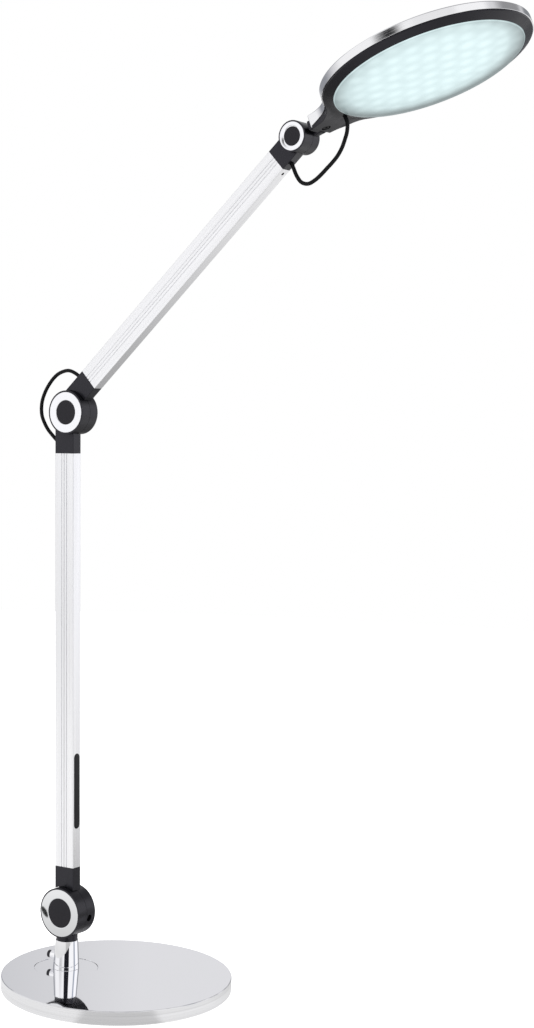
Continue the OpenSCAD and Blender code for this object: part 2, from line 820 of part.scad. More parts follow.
module neck_screw() {
    low = neck_seat_z - neck_screw_head_h;
    top = tray_z + tongue_t + neck_screw_engage;
    color(steel) at_head() difference() {
        union() {
            at_neck_screw(low) cylinder(d = neck_screw_head_d, h = neck_screw_head_h);
            at_neck_screw(neck_seat_z - past) cylinder(d = neck_screw_d, h = top - neck_seat_z + past);
        }
        at_neck_screw(low - past)
            cylinder(d = neck_screw_d, h = past + neck_socket_deep, $fn = 6);
    }
}

module head_bracket() {
    side = neck_half - flange_side;
    color(satin_black) at_head() difference() {
        union() {
            rear_drum(head_joint);
            box_to([0, rear_face(head_joint), bracket_low],
                [neck_x - past, half(head_joint) - bracket_in, head_drum_r / 2]);
            box_to([neck_x - flange_plate, -side, flange_low], [neck_x, side, flange_high]);
            box_to([neck_x - past, -tongue_w / 2, tray_z], [tongue_end, tongue_w / 2, tray_z + tongue_t]);
        }
        rear_cuts(head_joint);
        at_neck_screw(tray_z - past) cylinder(d = neck_screw_d + neck_screw_room, h = tongue_t + 2 * past);
    }
}

// Diffuser: a flange on the tray's floor and a domed face that bulges out of the bezel
dome_drop = 0.1;
dome_start = bezel_z - dome_drop;
dome_steps = 8;
function dome_arc(r, h, drop) = [for (i = [0 : dome_steps]) let (a = 90 * i / dome_steps)
    [r * cos(a), drop - h * sin(a)]];

module diffuser() {
    inner_r = glow_r - dome_wall;
    outer = dome_arc(glow_r, dome_h, dome_start);
    inner = dome_arc(inner_r, dome_h, dome_start + dome_wall);
    flange = [[inner_r, tray_z + flange_t], [glow_r + flange_over, tray_z + flange_t],
        [glow_r + flange_over, tray_z], [glow_r, tray_z]];
    color(milky) at_head() translate([head_reach, 0, 0]) rotate_extrude($fn = 180)
        polygon(concat(flange, outer, reversed(inner)));
}

module reflector() {
    low = tray_z + flange_t;
    wall = 1.2;
    color(white) at_head() translate([head_reach, 0, 0]) rotate_extrude($fn = 180)
        polygon([[glow_r, low], [glow_r + wall, low], [board_r, board_z], [board_r - wall, board_z]]);
}

module thermal_pad() {
    color(iron) at_head() translate([head_reach, 0, ceiling_head - pad_thick])
        cylinder(r = board_r, h = pad_thick);
}

module led_board() {
    color(white) at_head() translate([head_reach, 0, board_z]) cylinder(r = board_r, h = led_board_t);
}

// LEDs on a grid of triangles that keeps inside the reflector
module leds() {
    row = led_pitch * sqrt(3) / 2;
    n = ceil(board_r / row);
    color(milky) at_head() translate([head_reach, 0, board_z - led_size[2] / 2])
        for (i = [-n : n], k = [-n : n]) {
            x = k * led_pitch + (i % 2 == 0 ? 0 : led_pitch / 2);
            y = i * row;
            if (norm([x, y]) < board_r - led_size[0] - led_margin)
                translate([x, y, 0]) cube(led_size, center = true);
        }
}

// Cables that bridge a joint: routes in the plane of the arms, from the joint's axis, as [x, z]
cable_d = 3.5;
cable_gap = 0.25;
bore_past = 2;
cable_sides = 8;
elbow_route = [[-13, -32.5], [-19, -27.5], [-25, -22.5], [-30.5, -17.5], [-35, -11.5], [-38.5, -4.5],
    [-39.5, 3], [-38.5, 10.5], [-35.5, 18], [-31.5, 24.5], [-26.5, 30.5], [-20.5, 35.5], [-13.5, 38.5],
    [-6.5, 39.5], [0.5, 37.5], [7.5, 33.5], [14, 29]];
head_route = [[-10.5, -13.5], [-7.5, -20], [-4.5, -26.5], [-1, -33], [4, -38.5], [11, -40], [18, -37],
    [24, -32.5], [29.5, -27.5], [35, -22.5], [40, -17], [44, -10.5], [46.5, -4], [48.5, 3], [48.5, 10.5],
    [45.5, 17], [42, 23.5]];

// Bore for a cable, from a little behind its end at point p, out past point q
module cable_hole(p, q) {
    run_out = q - p;
    translate([p[0], 0, p[1]]) rotate([0, atan2(run_out[0], run_out[1]), 0]) translate([0, 0, -cable_gap])
        cylinder(d = cable_d + 2 * cable_gap, h = norm(run_out) + cable_gap + bore_past);
}

// Direction of the route at point i, and the ring of the tube there
function heading(route, i) = let (a = route[max(i - 1, 0)], b = route[min(i + 1, len(route) - 1)])
    (b - a) / norm(b - a);
function cable_ring(route, i) = let (h = heading(route, i)) [for (k = [0 : cable_sides - 1])
    let (a = 360 * (k + 0.5) / cable_sides, across = cable_d / 2 * cos(a), up = cable_d / 2 * sin(a))
    [route[i][0] - h[1] * up, across, route[i][1] + h[0] * up]];

// One tube swept along a route, as triangles
module cable(route) {
    n = len(route);
    s = cable_sides;
    points = [for (i = [0 : n - 1]) each cable_ring(route, i)];
    walls = [for (i = [0 : n - 2], k = [0 : s - 1]) let (a = i * s + k, b = i * s + (k + 1) % s)
        each [[a, b, b + s], [a, b + s, a + s]]];
    start = [for (k = [1 : s - 2]) [0, k + 1, k]];
    end = [for (k = [1 : s - 2]) [(n - 1) * s, (n - 1) * s + k, (n - 1) * s + k + 1]];
    color(satin_black) polyhedron(points, concat(walls, start, end));
}

module elbow_cable() { at_post() translate(elbow_pos) cable(elbow_route); }
module head_cable() { at_post() translate(head_pos) cable(head_route); }

// Hardware of each joint in its place
module lower_ring() { at_lower() trim_ring(lower_joint); }
module lower_cap() { at_lower() trim_cap(lower_joint, -lower_drum_half); }
module lower_bolt() { at_lower() joint_bolt(lower_joint); }
module lower_friction_washer() { at_lower() friction_washer(lower_joint); }
module lower_spring_washer() { at_lower() spring_washer(lower_joint); }
module lower_nut() { at_lower() joint_nut(lower_joint); }
module lower_rear_cap() { at_lower() trim_cap(lower_joint, lower_drum_half - trim_t); }
module elbow_ring() { at_elbow() trim_ring(elbow_joint); }
module elbow_cap() { at_elbow() trim_cap(elbow_joint, -elbow_drum_half); }
module elbow_bolt() { at_elbow() joint_bolt(elbow_joint); }
module elbow_friction_washer() { at_elbow() friction_washer(elbow_joint); }
module elbow_spring_washer() { at_elbow() spring_washer(elbow_joint); }
module elbow_nut() { at_elbow() joint_nut(elbow_joint); }
module elbow_rear_cap() { at_upper() trim_cap(elbow_joint, elbow_drum_half - trim_t); }
module head_ring() { at_head_axis() trim_ring(head_joint); }
module head_cap() { at_head_axis() trim_cap(head_joint, -head_drum_half); }
module head_bolt() { at_head_axis() joint_bolt(head_joint); }
module head_friction_washer() { at_head_axis() friction_washer(head_joint); }
module head_spring_washer() { at_head_axis() spring_washer(head_joint); }
module head_nut() { at_head_axis() joint_nut(head_joint); }
module head_rear_cap() { at_head() trim_cap(head_joint, head_drum_half - trim_t); }

base_shell();
ballast();
base_cover();
base_pad();
cover_screws();
swivel_bush();
swivel_plate();
post();
spindle();
swivel_washer();
swivel_nut();
inlet_sleeve();
inlet_socket();
inlet_pin();
lower_yoke();
lower_ring();
lower_cap();
lower_bolt();
lower_friction_washer();
lower_spring_washer();
lower_nut();
lower_foot();
lower_rear_cap();
drum_grub();
lower_tube();
touch_strip();
touch_board();
elbow_yoke();
elbow_ring();
elbow_cap();
elbow_bolt();
elbow_friction_washer();
elbow_spring_washer();
elbow_nut();
upper_foot();
elbow_rear_cap();
upper_tube();
tube_grub();
head_yoke();
head_ring();
head_cap();
head_bolt();
head_friction_washer();
head_spring_washer();
head_nut();
head_bracket();
head_rear_cap();
neck_screw();
head_tray();
head_cover();
diffuser();
reflector();
led_board();
leds();
thermal_pad();
elbow_cable();
head_cable();
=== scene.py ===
# %% [markdown]
# # A swing-arm table lamp
# The real lamp is a polished round base, a short post, two flat aluminium arms on friction knuckles and a
# round light head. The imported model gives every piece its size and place. This lesson dresses it: each
# visible piece is modelled again with soft edges, and each surface gets its finish. Sizes are in
# millimetres, and one scale at the end of each piece turns them into Blender's metres.

# %% Load the frame
import json
import math

import bmesh
import bpy
from mathutils import Matrix, Vector


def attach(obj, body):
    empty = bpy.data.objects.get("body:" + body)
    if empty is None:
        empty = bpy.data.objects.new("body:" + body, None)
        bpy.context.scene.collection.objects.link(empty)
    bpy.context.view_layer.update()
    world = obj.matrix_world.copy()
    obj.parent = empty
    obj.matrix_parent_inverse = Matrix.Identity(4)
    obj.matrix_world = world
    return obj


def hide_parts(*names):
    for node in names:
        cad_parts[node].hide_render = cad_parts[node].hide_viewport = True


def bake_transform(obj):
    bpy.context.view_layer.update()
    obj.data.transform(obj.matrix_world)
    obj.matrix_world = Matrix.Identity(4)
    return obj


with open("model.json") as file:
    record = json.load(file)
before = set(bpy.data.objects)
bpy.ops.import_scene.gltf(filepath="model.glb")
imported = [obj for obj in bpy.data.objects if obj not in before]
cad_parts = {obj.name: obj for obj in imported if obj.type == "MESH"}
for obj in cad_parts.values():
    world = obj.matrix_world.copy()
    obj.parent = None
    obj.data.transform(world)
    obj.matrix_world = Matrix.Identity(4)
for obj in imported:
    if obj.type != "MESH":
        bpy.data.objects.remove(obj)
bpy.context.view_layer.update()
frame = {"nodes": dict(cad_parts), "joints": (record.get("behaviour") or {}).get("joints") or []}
TO_METRES = Matrix.Scale(0.001, 4)

# %% [markdown]
# ## Places
# A piece is easiest to model about its own axis, so each group of pieces has a place: a matrix that moves
# it from its own frame to the lamp's. The joints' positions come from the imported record. Only the angles of
# the stored pose are written here, and how far the light disc's middle is from the head's axis.

# %% Places of the post, the arms and the head
LOWER_LEAN = math.radians(-2)
UPPER_ANGLE = math.radians(46)
HEAD_RISE = math.radians(23)
HEAD_REACH = 135.5
joint_at = {joint["name"]: Vector(joint["pos_m"]) * 1000 for joint in frame["joints"]}


def turned(joint, angle):
    """Place at a joint's axis, turned about the axis."""
    return Matrix.Translation(joint_at[joint]) @ Matrix.Rotation(angle, 4, "Y")


AT_POST = Matrix.Translation(joint_at["swivel"])
AT_LOWER = turned("lower_tilt", LOWER_LEAN)
AT_ELBOW = turned("elbow", LOWER_LEAN)
AT_UPPER = turned("elbow", UPPER_ANGLE)
AT_HEAD_AXIS = turned("head_tilt", UPPER_ANGLE)
AT_HEAD = turned("head_tilt", -HEAD_RISE)
ALONG_Y = Matrix.Rotation(-math.pi / 2, 4, "X")
ALONG_X = Matrix.Rotation(math.pi / 2, 4, "Y")
print("joints in mm:", {name: tuple(round(c, 1) for c in at) for name, at in joint_at.items()})

# %% [markdown]
# ## Camera
# The view looks at the lamp from its front right, a little above its middle, through a short telephoto
# lens. A small roll is kept, because the photograph has one.

# %% Camera
CAMERA_AT = Vector((1.0758, -1.3897, 0.5739))
CAMERA_AZIMUTH = math.radians(33.55)
CAMERA_PITCH = math.radians(3.72)
CAMERA_ROLL = math.radians(1.98)
CAMERA_LENS = 65.26


def linked(name, data):
    """New object in the scene."""
    made = bpy.data.objects.new(name, data)
    bpy.context.scene.collection.objects.link(made)
    return made


camera = linked("camera", bpy.data.cameras.new("camera"))
camera.data.lens = CAMERA_LENS
camera.data.sensor_width = 36
camera.matrix_world = (
    Matrix.Translation(CAMERA_AT)
    @ Matrix.Rotation(CAMERA_AZIMUTH, 4, "Z")
    @ Matrix.Rotation(math.pi / 2 - CAMERA_PITCH, 4, "X")
    @ Matrix.Rotation(CAMERA_ROLL, 4, "Z")
)
bpy.context.scene.camera = camera
print("camera at", tuple(camera.location))

# %% [markdown]
# ## Materials: helpers
# Every finish is a Principled shader with a little procedural life: a noise that varies the roughness, and
# a fine bump. The noise reads Object coordinates, which are metres on the lamp, so its grain keeps one
# scale on every piece. Three Mapping nodes move, turn and stretch it in that order, because a single one
# would stretch before it turns.


# %% Material helpers
def settle(made, **settings):
    """Sets a node's properties, and its inputs as in_0, in_1 or in_Name to constants or sockets."""
    for key, value in settings.items():
        if not key.startswith("in_"):
            setattr(made, key, value)
            continue
        name = key[3:].replace("_", " ")
        socket = made.inputs[int(name) if name.isdigit() else name]
        if isinstance(value, bpy.types.NodeSocket):
            made.id_data.links.new(value, socket)
        else:
            socket.default_value = (*value, 1) if socket.type == "RGBA" else value
    return made


def node(tree, kind, **settings):
    return settle(tree.nodes.new(kind), **settings)


def finish(name, colour, roughness, metallic=0.0):
    """New material with a Principled shader, as (material, node tree, shader)."""
    material = bpy.data.materials.new(name)
    material.use_nodes = True
    tree = material.node_tree
    shader = tree.nodes["Principled BSDF"]
    return material, tree, settle(shader, in_Base_Color=colour, in_Roughness=roughness, in_Metallic=metallic)


def mapped(tree, turn=(0, 0, 0), stretch=(1, 1, 1), shift=(0, 0, 0)):
    """Object coordinates moved to a centre, turned and then stretched for a pattern."""
    place = node(tree, "ShaderNodeTexCoord").outputs["Object"]
    for step in ({"in_Location": [-c for c in shift]}, {"in_Rotation": turn}, {"in_Scale": stretch}):
        place = node(tree, "ShaderNodeMapping", in_Vector=place, **step).outputs[0]
    return place


def noise(tree, place, scale, detail=3.0):
    return node(tree, "ShaderNodeTexNoise", in_Vector=place, in_Scale=scale, in_Detail=detail).outputs["Fac"]


def spread(tree, value, low, high, start=0.3, stop=0.7):
    """Value from start to stop, spread evenly from low to high."""
    ramp = node(tree, "ShaderNodeMapRange", in_0=value, in_1=start, in_2=stop, in_3=low, in_4=high)
    return ramp.outputs[0]


def maths(tree, operation, first, second):
    return node(tree, "ShaderNodeMath", operation=operation, in_0=first, in_1=second).outputs[0]


def mixed(tree, factor, first, second):
    """Mix of two colours."""
    return node(tree, "ShaderNodeMix", data_type="RGBA", in_0=factor, in_6=first, in_7=second).outputs[2]


def mixed_value(tree, factor, first, second):
    return node(tree, "ShaderNodeMix", in_0=factor, in_2=first, in_3=second).outputs[0]


def vectors(tree, operation, first, second=(0, 0, 0)):
    made = node(tree, "ShaderNodeVectorMath", operation=operation, in_0=first, in_1=second)
    return made.outputs["Value" if operation in ("LENGTH", "DOT_PRODUCT") else "Vector"]


def axes(tree, way):
    return node(tree, "ShaderNodeSeparateXYZ", in_0=way).outputs


def level(tree, way):
    return vectors(tree, "MULTIPLY", way, (1, 1, 0))


def distance(tree, place, shift=(0, 0, 0)):
    """Distance from the Z axis of some coordinates, or from an axis beside it."""
    return vectors(tree, "LENGTH", level(tree, vectors(tree, "ADD", place, shift)))


def bump(tree, shader, height, depth):
    made = node(tree, "ShaderNodeBump", in_Distance=depth, in_Strength=1.0, in_Height=height)
    settle(shader, in_Normal=made.outputs[0])


# %% [markdown]
# ## Metals
# Chrome plate is a mirror with a trace of polishing haze, and the base's rim still has its turning lines. The
# joints' rings are bright aluminium; the lowest ring is a darker copy of it, whose grey is painted shade. The
# arms are drawn aluminium: softer than a mirror, with die lines that run along them. The head's cover is
# brushed round its rim. One function makes both lined finishes, because they differ only in where their lines
# run and how deep they are.


# %% Metal finishes
HAZE_SCALE, HAZE = 35, 0.4
RIM_START, RIM_FULL, RIM_ROUGH, RIM_TINT, RIM_DEPTH = 0.995, 0.998, 0.22, 0.86, 0.00003
RIM_STRETCH = (4, 4, 900)
LINE_TINT, SMOOTHER, ROUGHER = 0.96, 0.05, 0.07


def hazy(tree, place, rough):
    """Roughness of a polish that varies a little."""
    return spread(tree, noise(tree, place, HAZE_SCALE), (1 - HAZE) * rough, (1 + HAZE) * rough)


def mirror(name, colour, rough):
    material, tree, shader = finish(name, colour, rough, 1)
    settle(shader, in_Roughness=hazy(tree, mapped(tree), rough))
    return material


def turned_chrome(name, colour, rough, rim_r):
    """Mirror on top, with fine turning lines round the rim."""
    material, tree, shader = finish(name, colour, rough, 1)
    place = mapped(tree)
    rim = spread(tree, distance(tree, place), 0, 1, RIM_START * rim_r, RIM_FULL * rim_r)
    settle(shader, in_Roughness=mixed_value(tree, rim, hazy(tree, place, rough), RIM_ROUGH))
    lines = noise(tree, mapped(tree, stretch=RIM_STRETCH), 1.0, 4)
    height = maths(tree, "MULTIPLY", spread(tree, lines, 0, 1), rim)
    tint = tuple(RIM_TINT * c for c in colour)
    settle(shader, in_Base_Color=mixed(tree, height, colour, tint))
    bump(tree, shader, height, RIM_DEPTH)
    return material


def lined_aluminium(name, colour, turn, stretch, rough, depth):
    """Aluminium with fine lines along the axes that are stretched least."""
    material, tree, shader = finish(name, colour, rough, 1)
    lines = noise(tree, mapped(tree, turn, stretch), 1.0, 2)
    tint = tuple(LINE_TINT * c for c in colour)
    roughness = spread(tree, lines, rough - SMOOTHER, rough + ROUGHER)
    settle(shader, in_Base_Color=mixed(tree, lines, colour, tint), in_Roughness=roughness)
    bump(tree, shader, lines, depth)
    return material


ARM_LINES, ARM_LINE_DEPTH = (600, 600, 3), 0.000005
BRUSHED, BRUSHED_DEPTH = (14, 14, 2600), 0.000006
BASE_CHROME = turned_chrome("base_chrome", (0.91, 0.91, 0.925), 0.03, 0.11)
CHROME = mirror("mirror_chrome", (0.91, 0.91, 0.925), 0.04)
RING_ALU = mirror("ring_aluminium", (0.91, 0.91, 0.935), 0.14)
# The lowest ring is a darker copy of the ring aluminium: its grey is painted shade.
LOWER_RING_PAINTED_SHADE_ALU = mirror("lower_ring_aluminium_painted_shade", (0.75, 0.755, 0.765), 0.03)
LOWER_ALU = lined_aluminium(
    "lower_arm_aluminium", (0.91, 0.91, 0.925), (0, -LOWER_LEAN, 0), ARM_LINES, 0.3, ARM_LINE_DEPTH
)
UPPER_ALU = lined_aluminium(
    "upper_arm_aluminium", (0.92, 0.92, 0.935), (0, -UPPER_ANGLE, 0), ARM_LINES, 0.3, ARM_LINE_DEPTH
)
HEAD_ALU = lined_aluminium(
    "head_aluminium", (0.84, 0.84, 0.85), (0, HEAD_RISE, 0), BRUSHED, 0.1, BRUSHED_DEPTH
)
print("metal finishes:", [m.name for m in (CHROME, RING_ALU, LOWER_ALU, UPPER_ALU, HEAD_ALU)])

# %% [markdown]
# ## Blacks
# The knuckles are moulded in a satin black that has a fine even grain. The caps are smoother, the touch
# strip is smoothest, and the cables have a soft sheath. They share one recipe with different grains.


# %% Black finishes
CLOUD_SCALE, CLOUD_GAIN, CLOUD_LIFT, PALEST = 60, 1.25, 0.001, 0.95


def grained(name, colour, rough, grain, depth, vary=0.06, shine=0.5, metallic=0.0, sheen=(1, 1, 1)):
    """Plastic, rubber, paint or plain metal with a grain of the given scale and depth."""
    material, tree, shader = finish(name, colour, rough, metallic)
    settle(shader, in_Specular_IOR_Level=shine, in_Specular_Tint=sheen)
    place = mapped(tree)
    cloud = noise(tree, place, CLOUD_SCALE, 2)
    lighter = tuple(min(CLOUD_GAIN * c + CLOUD_LIFT, PALEST) for c in colour)
    roughness = spread(tree, cloud, rough - vary, rough + vary)
    settle(shader, in_Base_Color=mixed(tree, cloud, colour, lighter), in_Roughness=roughness)
    bump(tree, shader, noise(tree, place, grain, 2), depth)
    return material


BLUISH = (0.9, 0.88, 1)
SATIN_BLACK = grained("moulded_black", (0.004, 0.004, 0.0055), 0.3, 2200, 0.00003, shine=0.42, sheen=BLUISH)
BEZEL_BLACK = grained("bezel_black", (0.003, 0.0028, 0.0045), 0.28, 2600, 0.00002, shine=0.36, sheen=BLUISH)
CAP_BLACK = grained("cap_black_plastic", (0.008, 0.0075, 0.009), 0.4, 3000, 0.00003, shine=0.26, sheen=BLUISH)
STRIP_BLACK = grained("strip_gloss", (0.004, 0.004, 0.006), 0.24, 900, 0.00001, 0.04, shine=0.22)
CABLE_BLACK = grained("cable_sheath", (0.002, 0.002, 0.0025), 0.4, 1500, 0.00003, shine=0.15)
print("black finishes:", SATIN_BLACK.name, CAP_BLACK.name, STRIP_BLACK.name, CABLE_BLACK.name)

# %% [markdown]
# ## Milky diffuser
# The lit face is a milky plastic with rows of diodes behind it. It glows, so most of its colour is emission.
# Three cosine waves across each other make soft brighter spots on the diodes' grid. Painted shade darkens the
# glow towards the rim, more on the far side, and each painted shade is a low and a high value with the
# distances where it starts and stops. A thin painted highlight runs just inside the rim's edge.


# %% Milky finish
DIODE_PITCH, ROW_TURNS, SPOT_RANGE = 0.018, (-30, 30, 90), (-1.8, 3)
MILKY_BODY, GLOW_LOW, GLOW_HIGH = (0.1, 0.12, 0.12), (0.6, 0.745, 0.76), (0.7, 0.86, 0.875)
# Painted shade towards the diffuser's rim, round a centre shifted aside, and a painted highlight line at the
# rim.
MILKY_ROUGH, MILKY_SHINE, CLOUDING, PAINTED_SHADE_SHIFT = 0.3, 0.3, 90, (-0.0039, 0.0108, 0)
SOFT_PAINTED_SHADE, EDGE_PAINTED_SHADE, RIM_PAINTED_HIGHLIGHT = (0, 0.17, 0.05, 0.0695), (0, 0.6, 0.069, 0.084), (0, 0.25, 0.0822, 0.0826)


def milky_plastic():
    material, tree, shader = finish("milky_plastic", MILKY_BODY, MILKY_ROUGH)
    settle(shader, in_Specular_IOR_Level=MILKY_SHINE)
    centre = (AT_HEAD @ Vector((HEAD_REACH, 0, 0))) * 0.001
    place = mapped(tree, (0, HEAD_RISE, 0), shift=centre)
    spots = spread(tree, noise(tree, place, CLOUDING, 2), -1, 1)
    for turn in ROW_TURNS:
        angle, row_gap = math.radians(turn), DIODE_PITCH * math.sqrt(3) / 2
        way = Vector((math.cos(angle), math.sin(angle), 0)) * math.tau / row_gap
        phase = vectors(tree, "DOT_PRODUCT", place, way)
        spots = maths(tree, "ADD", spots, maths(tree, "COSINE", phase, 0))
    glow = mixed(tree, spread(tree, spots, 0, 1, *SPOT_RANGE), GLOW_LOW, GLOW_HIGH)
    # Painted shade: the glow is darkened towards the rim, more on the far side.
    shade_distance = distance(tree, place, PAINTED_SHADE_SHIFT)
    painted_shade = maths(tree, "ADD", spread(tree, shade_distance, *SOFT_PAINTED_SHADE), spread(tree, shade_distance, *EDGE_PAINTED_SHADE))
    # Painted highlight: a thin brighter line just inside the rim's edge.
    rim = spread(tree, distance(tree, place), *RIM_PAINTED_HIGHLIGHT)
    strength = maths(tree, "ADD", maths(tree, "SUBTRACT", 1, painted_shade), rim)
    settle(shader, in_Emission_Strength=strength, in_Emission_Color=glow)
    return material


MILKY = milky_plastic()
print("diffuser finish:", MILKY.name)

# %% [markdown]
# ## Modelling helpers
# Most of the lamp is turned or extruded. A turned piece starts as a half profile that is spun about an
# axis. A block starts as a cube. Sharp edges get bevelled, because real edges catch light, and a large face
# beside a narrow bevel keeps its own normal, so that a mirror stays flat. A knuckle is a drum and a stem in
# one moulding, so a Boolean modifier joins or cuts whole solids.


# %% Modelling helpers
# Steps round a turned piece, by its size.
FINE, ROUND, MEDIUM, SMALL, TINY = 160, 128, 96, 48, 32
WELD = 0.0005


def soften(bm, radius, segments=3, above=30):
    """Bevels every edge whose faces meet at more than the given angle, in degrees."""
    limit = math.radians(above)
    sharp = [e for e in bm.edges if len(e.link_faces) == 2 and e.calc_face_angle(0) > limit]
    bmesh.ops.bevel(
        bm, geom=sharp, offset=radius, segments=segments, profile=0.5, affect="EDGES",
        material=-1, clamp_overlap=True, offset_type="OFFSET",
    )
    return bm


def turned_solid(profile, radius=0.0, steps=MEDIUM):
    """Closed profile of (radius, height) points spun about Z, with its edges rounded."""
    bm = bmesh.new()
    corners = [bm.verts.new((r, 0, h)) for r, h in profile]
    edges = [bm.edges.new(pair) for pair in zip(corners, corners[1:])]
    if profile[0][0] > 0:
        edges.append(bm.edges.new((corners[-1], corners[0])))
    bmesh.ops.spin(
        bm, geom=corners + edges, cent=(0, 0, 0), axis=(0, 0, 1), angle=math.tau, steps=steps,
        use_merge=True,
    )
    bmesh.ops.remove_doubles(bm, verts=bm.verts, dist=WELD)
    bmesh.ops.recalc_face_normals(bm, faces=bm.faces)
    return soften(bm, radius) if radius else bm


def disc(r, low, high, radius=0.0, steps=MEDIUM):
    return turned_solid([(0, low), (r, low), (r, high), (0, high)], radius, steps)


def block(low, high):
    """Box between two corners."""
    bm = bmesh.new()
    bmesh.ops.create_cube(bm, size=1)
    size = Vector(high) - Vector(low)
    bmesh.ops.scale(bm, verts=bm.verts, vec=size)
    bmesh.ops.translate(bm, verts=bm.verts, vec=(Vector(high) + Vector(low)) / 2)
    return bm


def raised(bm, height):
    """Flat faces pulled up along Z into a solid."""
    grown = bmesh.ops.extrude_face_region(bm, geom=bm.faces[:])
    lifted = [v for v in grown["geom"] if isinstance(v, bmesh.types.BMVert)]
    bmesh.ops.translate(bm, verts=lifted, vec=(0, 0, height))
    bmesh.ops.recalc_face_normals(bm, faces=bm.faces)
    return bm


def arc(x, y, r, first, last, steps):
    """Points round a centre from one angle to another."""
    turns = [first + (last - first) * i / steps for i in range(steps + 1)]
    return [(x + r * math.cos(a), y + r * math.sin(a)) for a in turns]


def placed(bm, place):
    bmesh.ops.transform(bm, matrix=place, verts=bm.verts)
    return bm


def as_object(name, bm):
    mesh = bpy.data.meshes.new(name)
    bm.to_mesh(mesh)
    bm.free()
    return linked(name, mesh)


def lathe(name, profile, radius, steps):
    return as_object(name, turned_solid(profile, radius, steps))


def evaluated(made):
    """New mesh of an object as its modifiers or its curve make it."""
    graph = bpy.context.evaluated_depsgraph_get()
    return bpy.data.meshes.new_from_object(made.evaluated_get(graph))


def apply_modifiers(made):
    mesh = evaluated(made)
    made.modifiers.clear()
    made.data = mesh


def combined(made, tool, operation):
    """Joins another object to an object, or cuts it away, and uses it up."""
    boolean = made.modifiers.new("boolean", "BOOLEAN")
    boolean.operation = operation
    boolean.solver = "EXACT"
    boolean.object = tool
    apply_modifiers(made)
    bpy.data.objects.remove(tool)
    return made


def cut(made, bm):
    return combined(made, as_object("tool", bm), "DIFFERENCE")


def rounded(made, width, segments=2, above=35):
    """Rounds the edges that the Boolean steps left sharp."""
    bevel = made.modifiers.new("bevel", "BEVEL")
    bevel.width = width
    bevel.segments = segments
    bevel.limit_method = "ANGLE"
    bevel.angle_limit = math.radians(above)
    bevel.use_clamp_overlap = True
    apply_modifiers(made)
    return made


def crease(mesh, above=4.5, ratio=6):
    """Keeps a face flat beside one that is smaller by the ratio and meets it above the angle in degrees."""
    bm = bmesh.new()
    bm.from_mesh(mesh)
    for edge in bm.edges:
        areas = sorted(face.calc_area() for face in edge.link_faces)
        uneven = len(areas) == 2 and areas[1] > ratio * areas[0]
        if uneven and edge.calc_face_angle(0) > math.radians(above):
            edge.smooth = False
    bm.to_mesh(mesh)
    bm.free()


def coat(made, material):
    made.data.materials.clear()
    made.data.materials.append(material)


def dress(made, place, material, body, slot, *nodes, smooth=30):
    """Puts a finished solid in its place on the lamp, and hides the CAD pieces it stands for."""
    made.data.transform(TO_METRES @ place)
    made.data.shade_smooth()
    made.data.set_sharp_from_angle(angle=math.radians(smooth))
    crease(made.data)
    coat(made, material)
    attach(made, body)
    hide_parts(*nodes)
    print(made.name, len(made.data.polygons), "faces")
    return made


# %% [markdown]
# ## Cables
# Two short leads carry power past the elbow and the head joint. Each leaves one housing, bows out and goes
# back into the next, so it has to bend with the joint. A smooth line through the route's points gives a
# tube.

# %% Cable routes, as x and z from the joint's axis
CABLE_D, CABLE_GAP, BORE_PAST = 3.5, 0.25, 2
ELBOW_ROUTE = [
    (-13, -32.5), (-19, -27.5), (-25, -22.5), (-30.5, -17.5), (-35, -11.5), (-38.5, -4.5), (-39.5, 3),
    (-38.5, 10.5), (-35.5, 18), (-31.5, 24.5), (-26.5, 30.5), (-20.5, 35.5), (-13.5, 38.5), (-6.5, 39.5),
    (0.5, 37.5), (7.5, 33.5), (14, 29),
]
HEAD_ROUTE = [
    (-10.5, -13.5), (-7.5, -20), (-4.5, -26.5), (-1, -33), (4, -38.5), (11, -40), (18, -37), (24, -32.5),
    (29.5, -27.5), (35, -22.5), (40, -17), (44, -10.5), (46.5, -4), (48.5, 3), (48.5, 10.5), (45.5, 17),
    (42, 23.5),
]


def route_point(joint, at):
    return joint_at[joint] + Vector((at[0], 0, at[1]))


def smooth_line(points, steps=6):
    """Points along a Catmull-Rom curve through the given points."""
    ends = [2 * points[0] - points[1], *points, 2 * points[-1] - points[-2]]
    line = []
    for a, b, c, d in zip(ends, ends[1:], ends[2:], ends[3:]):
        for i in range(steps):
            t = i / steps
            pull = (c - a) * t + (2 * a - 5 * b + 4 * c - d) * t**2 + (3 * b - a - 3 * c + d) * t**3
            line.append(b + pull / 2)
    return line + [points[-1]]


def cable(name, joint, route):
    line = [p * 0.001 for p in smooth_line([route_point(joint, at) for at in route])]
    curve = bpy.data.curves.new(name, "CURVE")
    curve.dimensions = "3D"
    curve.bevel_depth = CABLE_D / 2000
    curve.bevel_resolution = 6
    curve.use_fill_caps = True
    spline = curve.splines.new("POLY")
    spline.points.add(len(line) - 1)
    for point, at in zip(spline.points, line):
        point.co = (*at, 1)
    drawn = linked(name + "_line", curve)
    mesh = evaluated(drawn)
    bpy.data.objects.remove(drawn)
    made = linked(name, mesh)
    mesh.shade_smooth()
    coat(made, CABLE_BLACK)
    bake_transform(made)
    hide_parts(name)
    made.name = name + "_lead"
    return made


cable("elbow_cable", "elbow", ELBOW_ROUTE)
cable("head_cable", "head_tilt", HEAD_ROUTE)


def cable_bore(joint, place, start, far):
    """Hole for a cable in a piece's own frame, from a little behind its end out past another point."""
    a, b = route_point(joint, start), route_point(joint, far)
    way = b - a
    turn = way.to_track_quat("Z", "Y").to_matrix().to_4x4()
    hole = disc(CABLE_D / 2 + CABLE_GAP, -CABLE_GAP, way.length + BORE_PAST, 0, TINY)
    return placed(hole, place.inverted() @ Matrix.Translation(a) @ turn)


# %% [markdown]
# ## Base
# The base is a chromed disc with crisp but not sharp edges. It is a shell on the real lamp, so the profile
# goes round its inside too. A thin plate turns on it with the post.

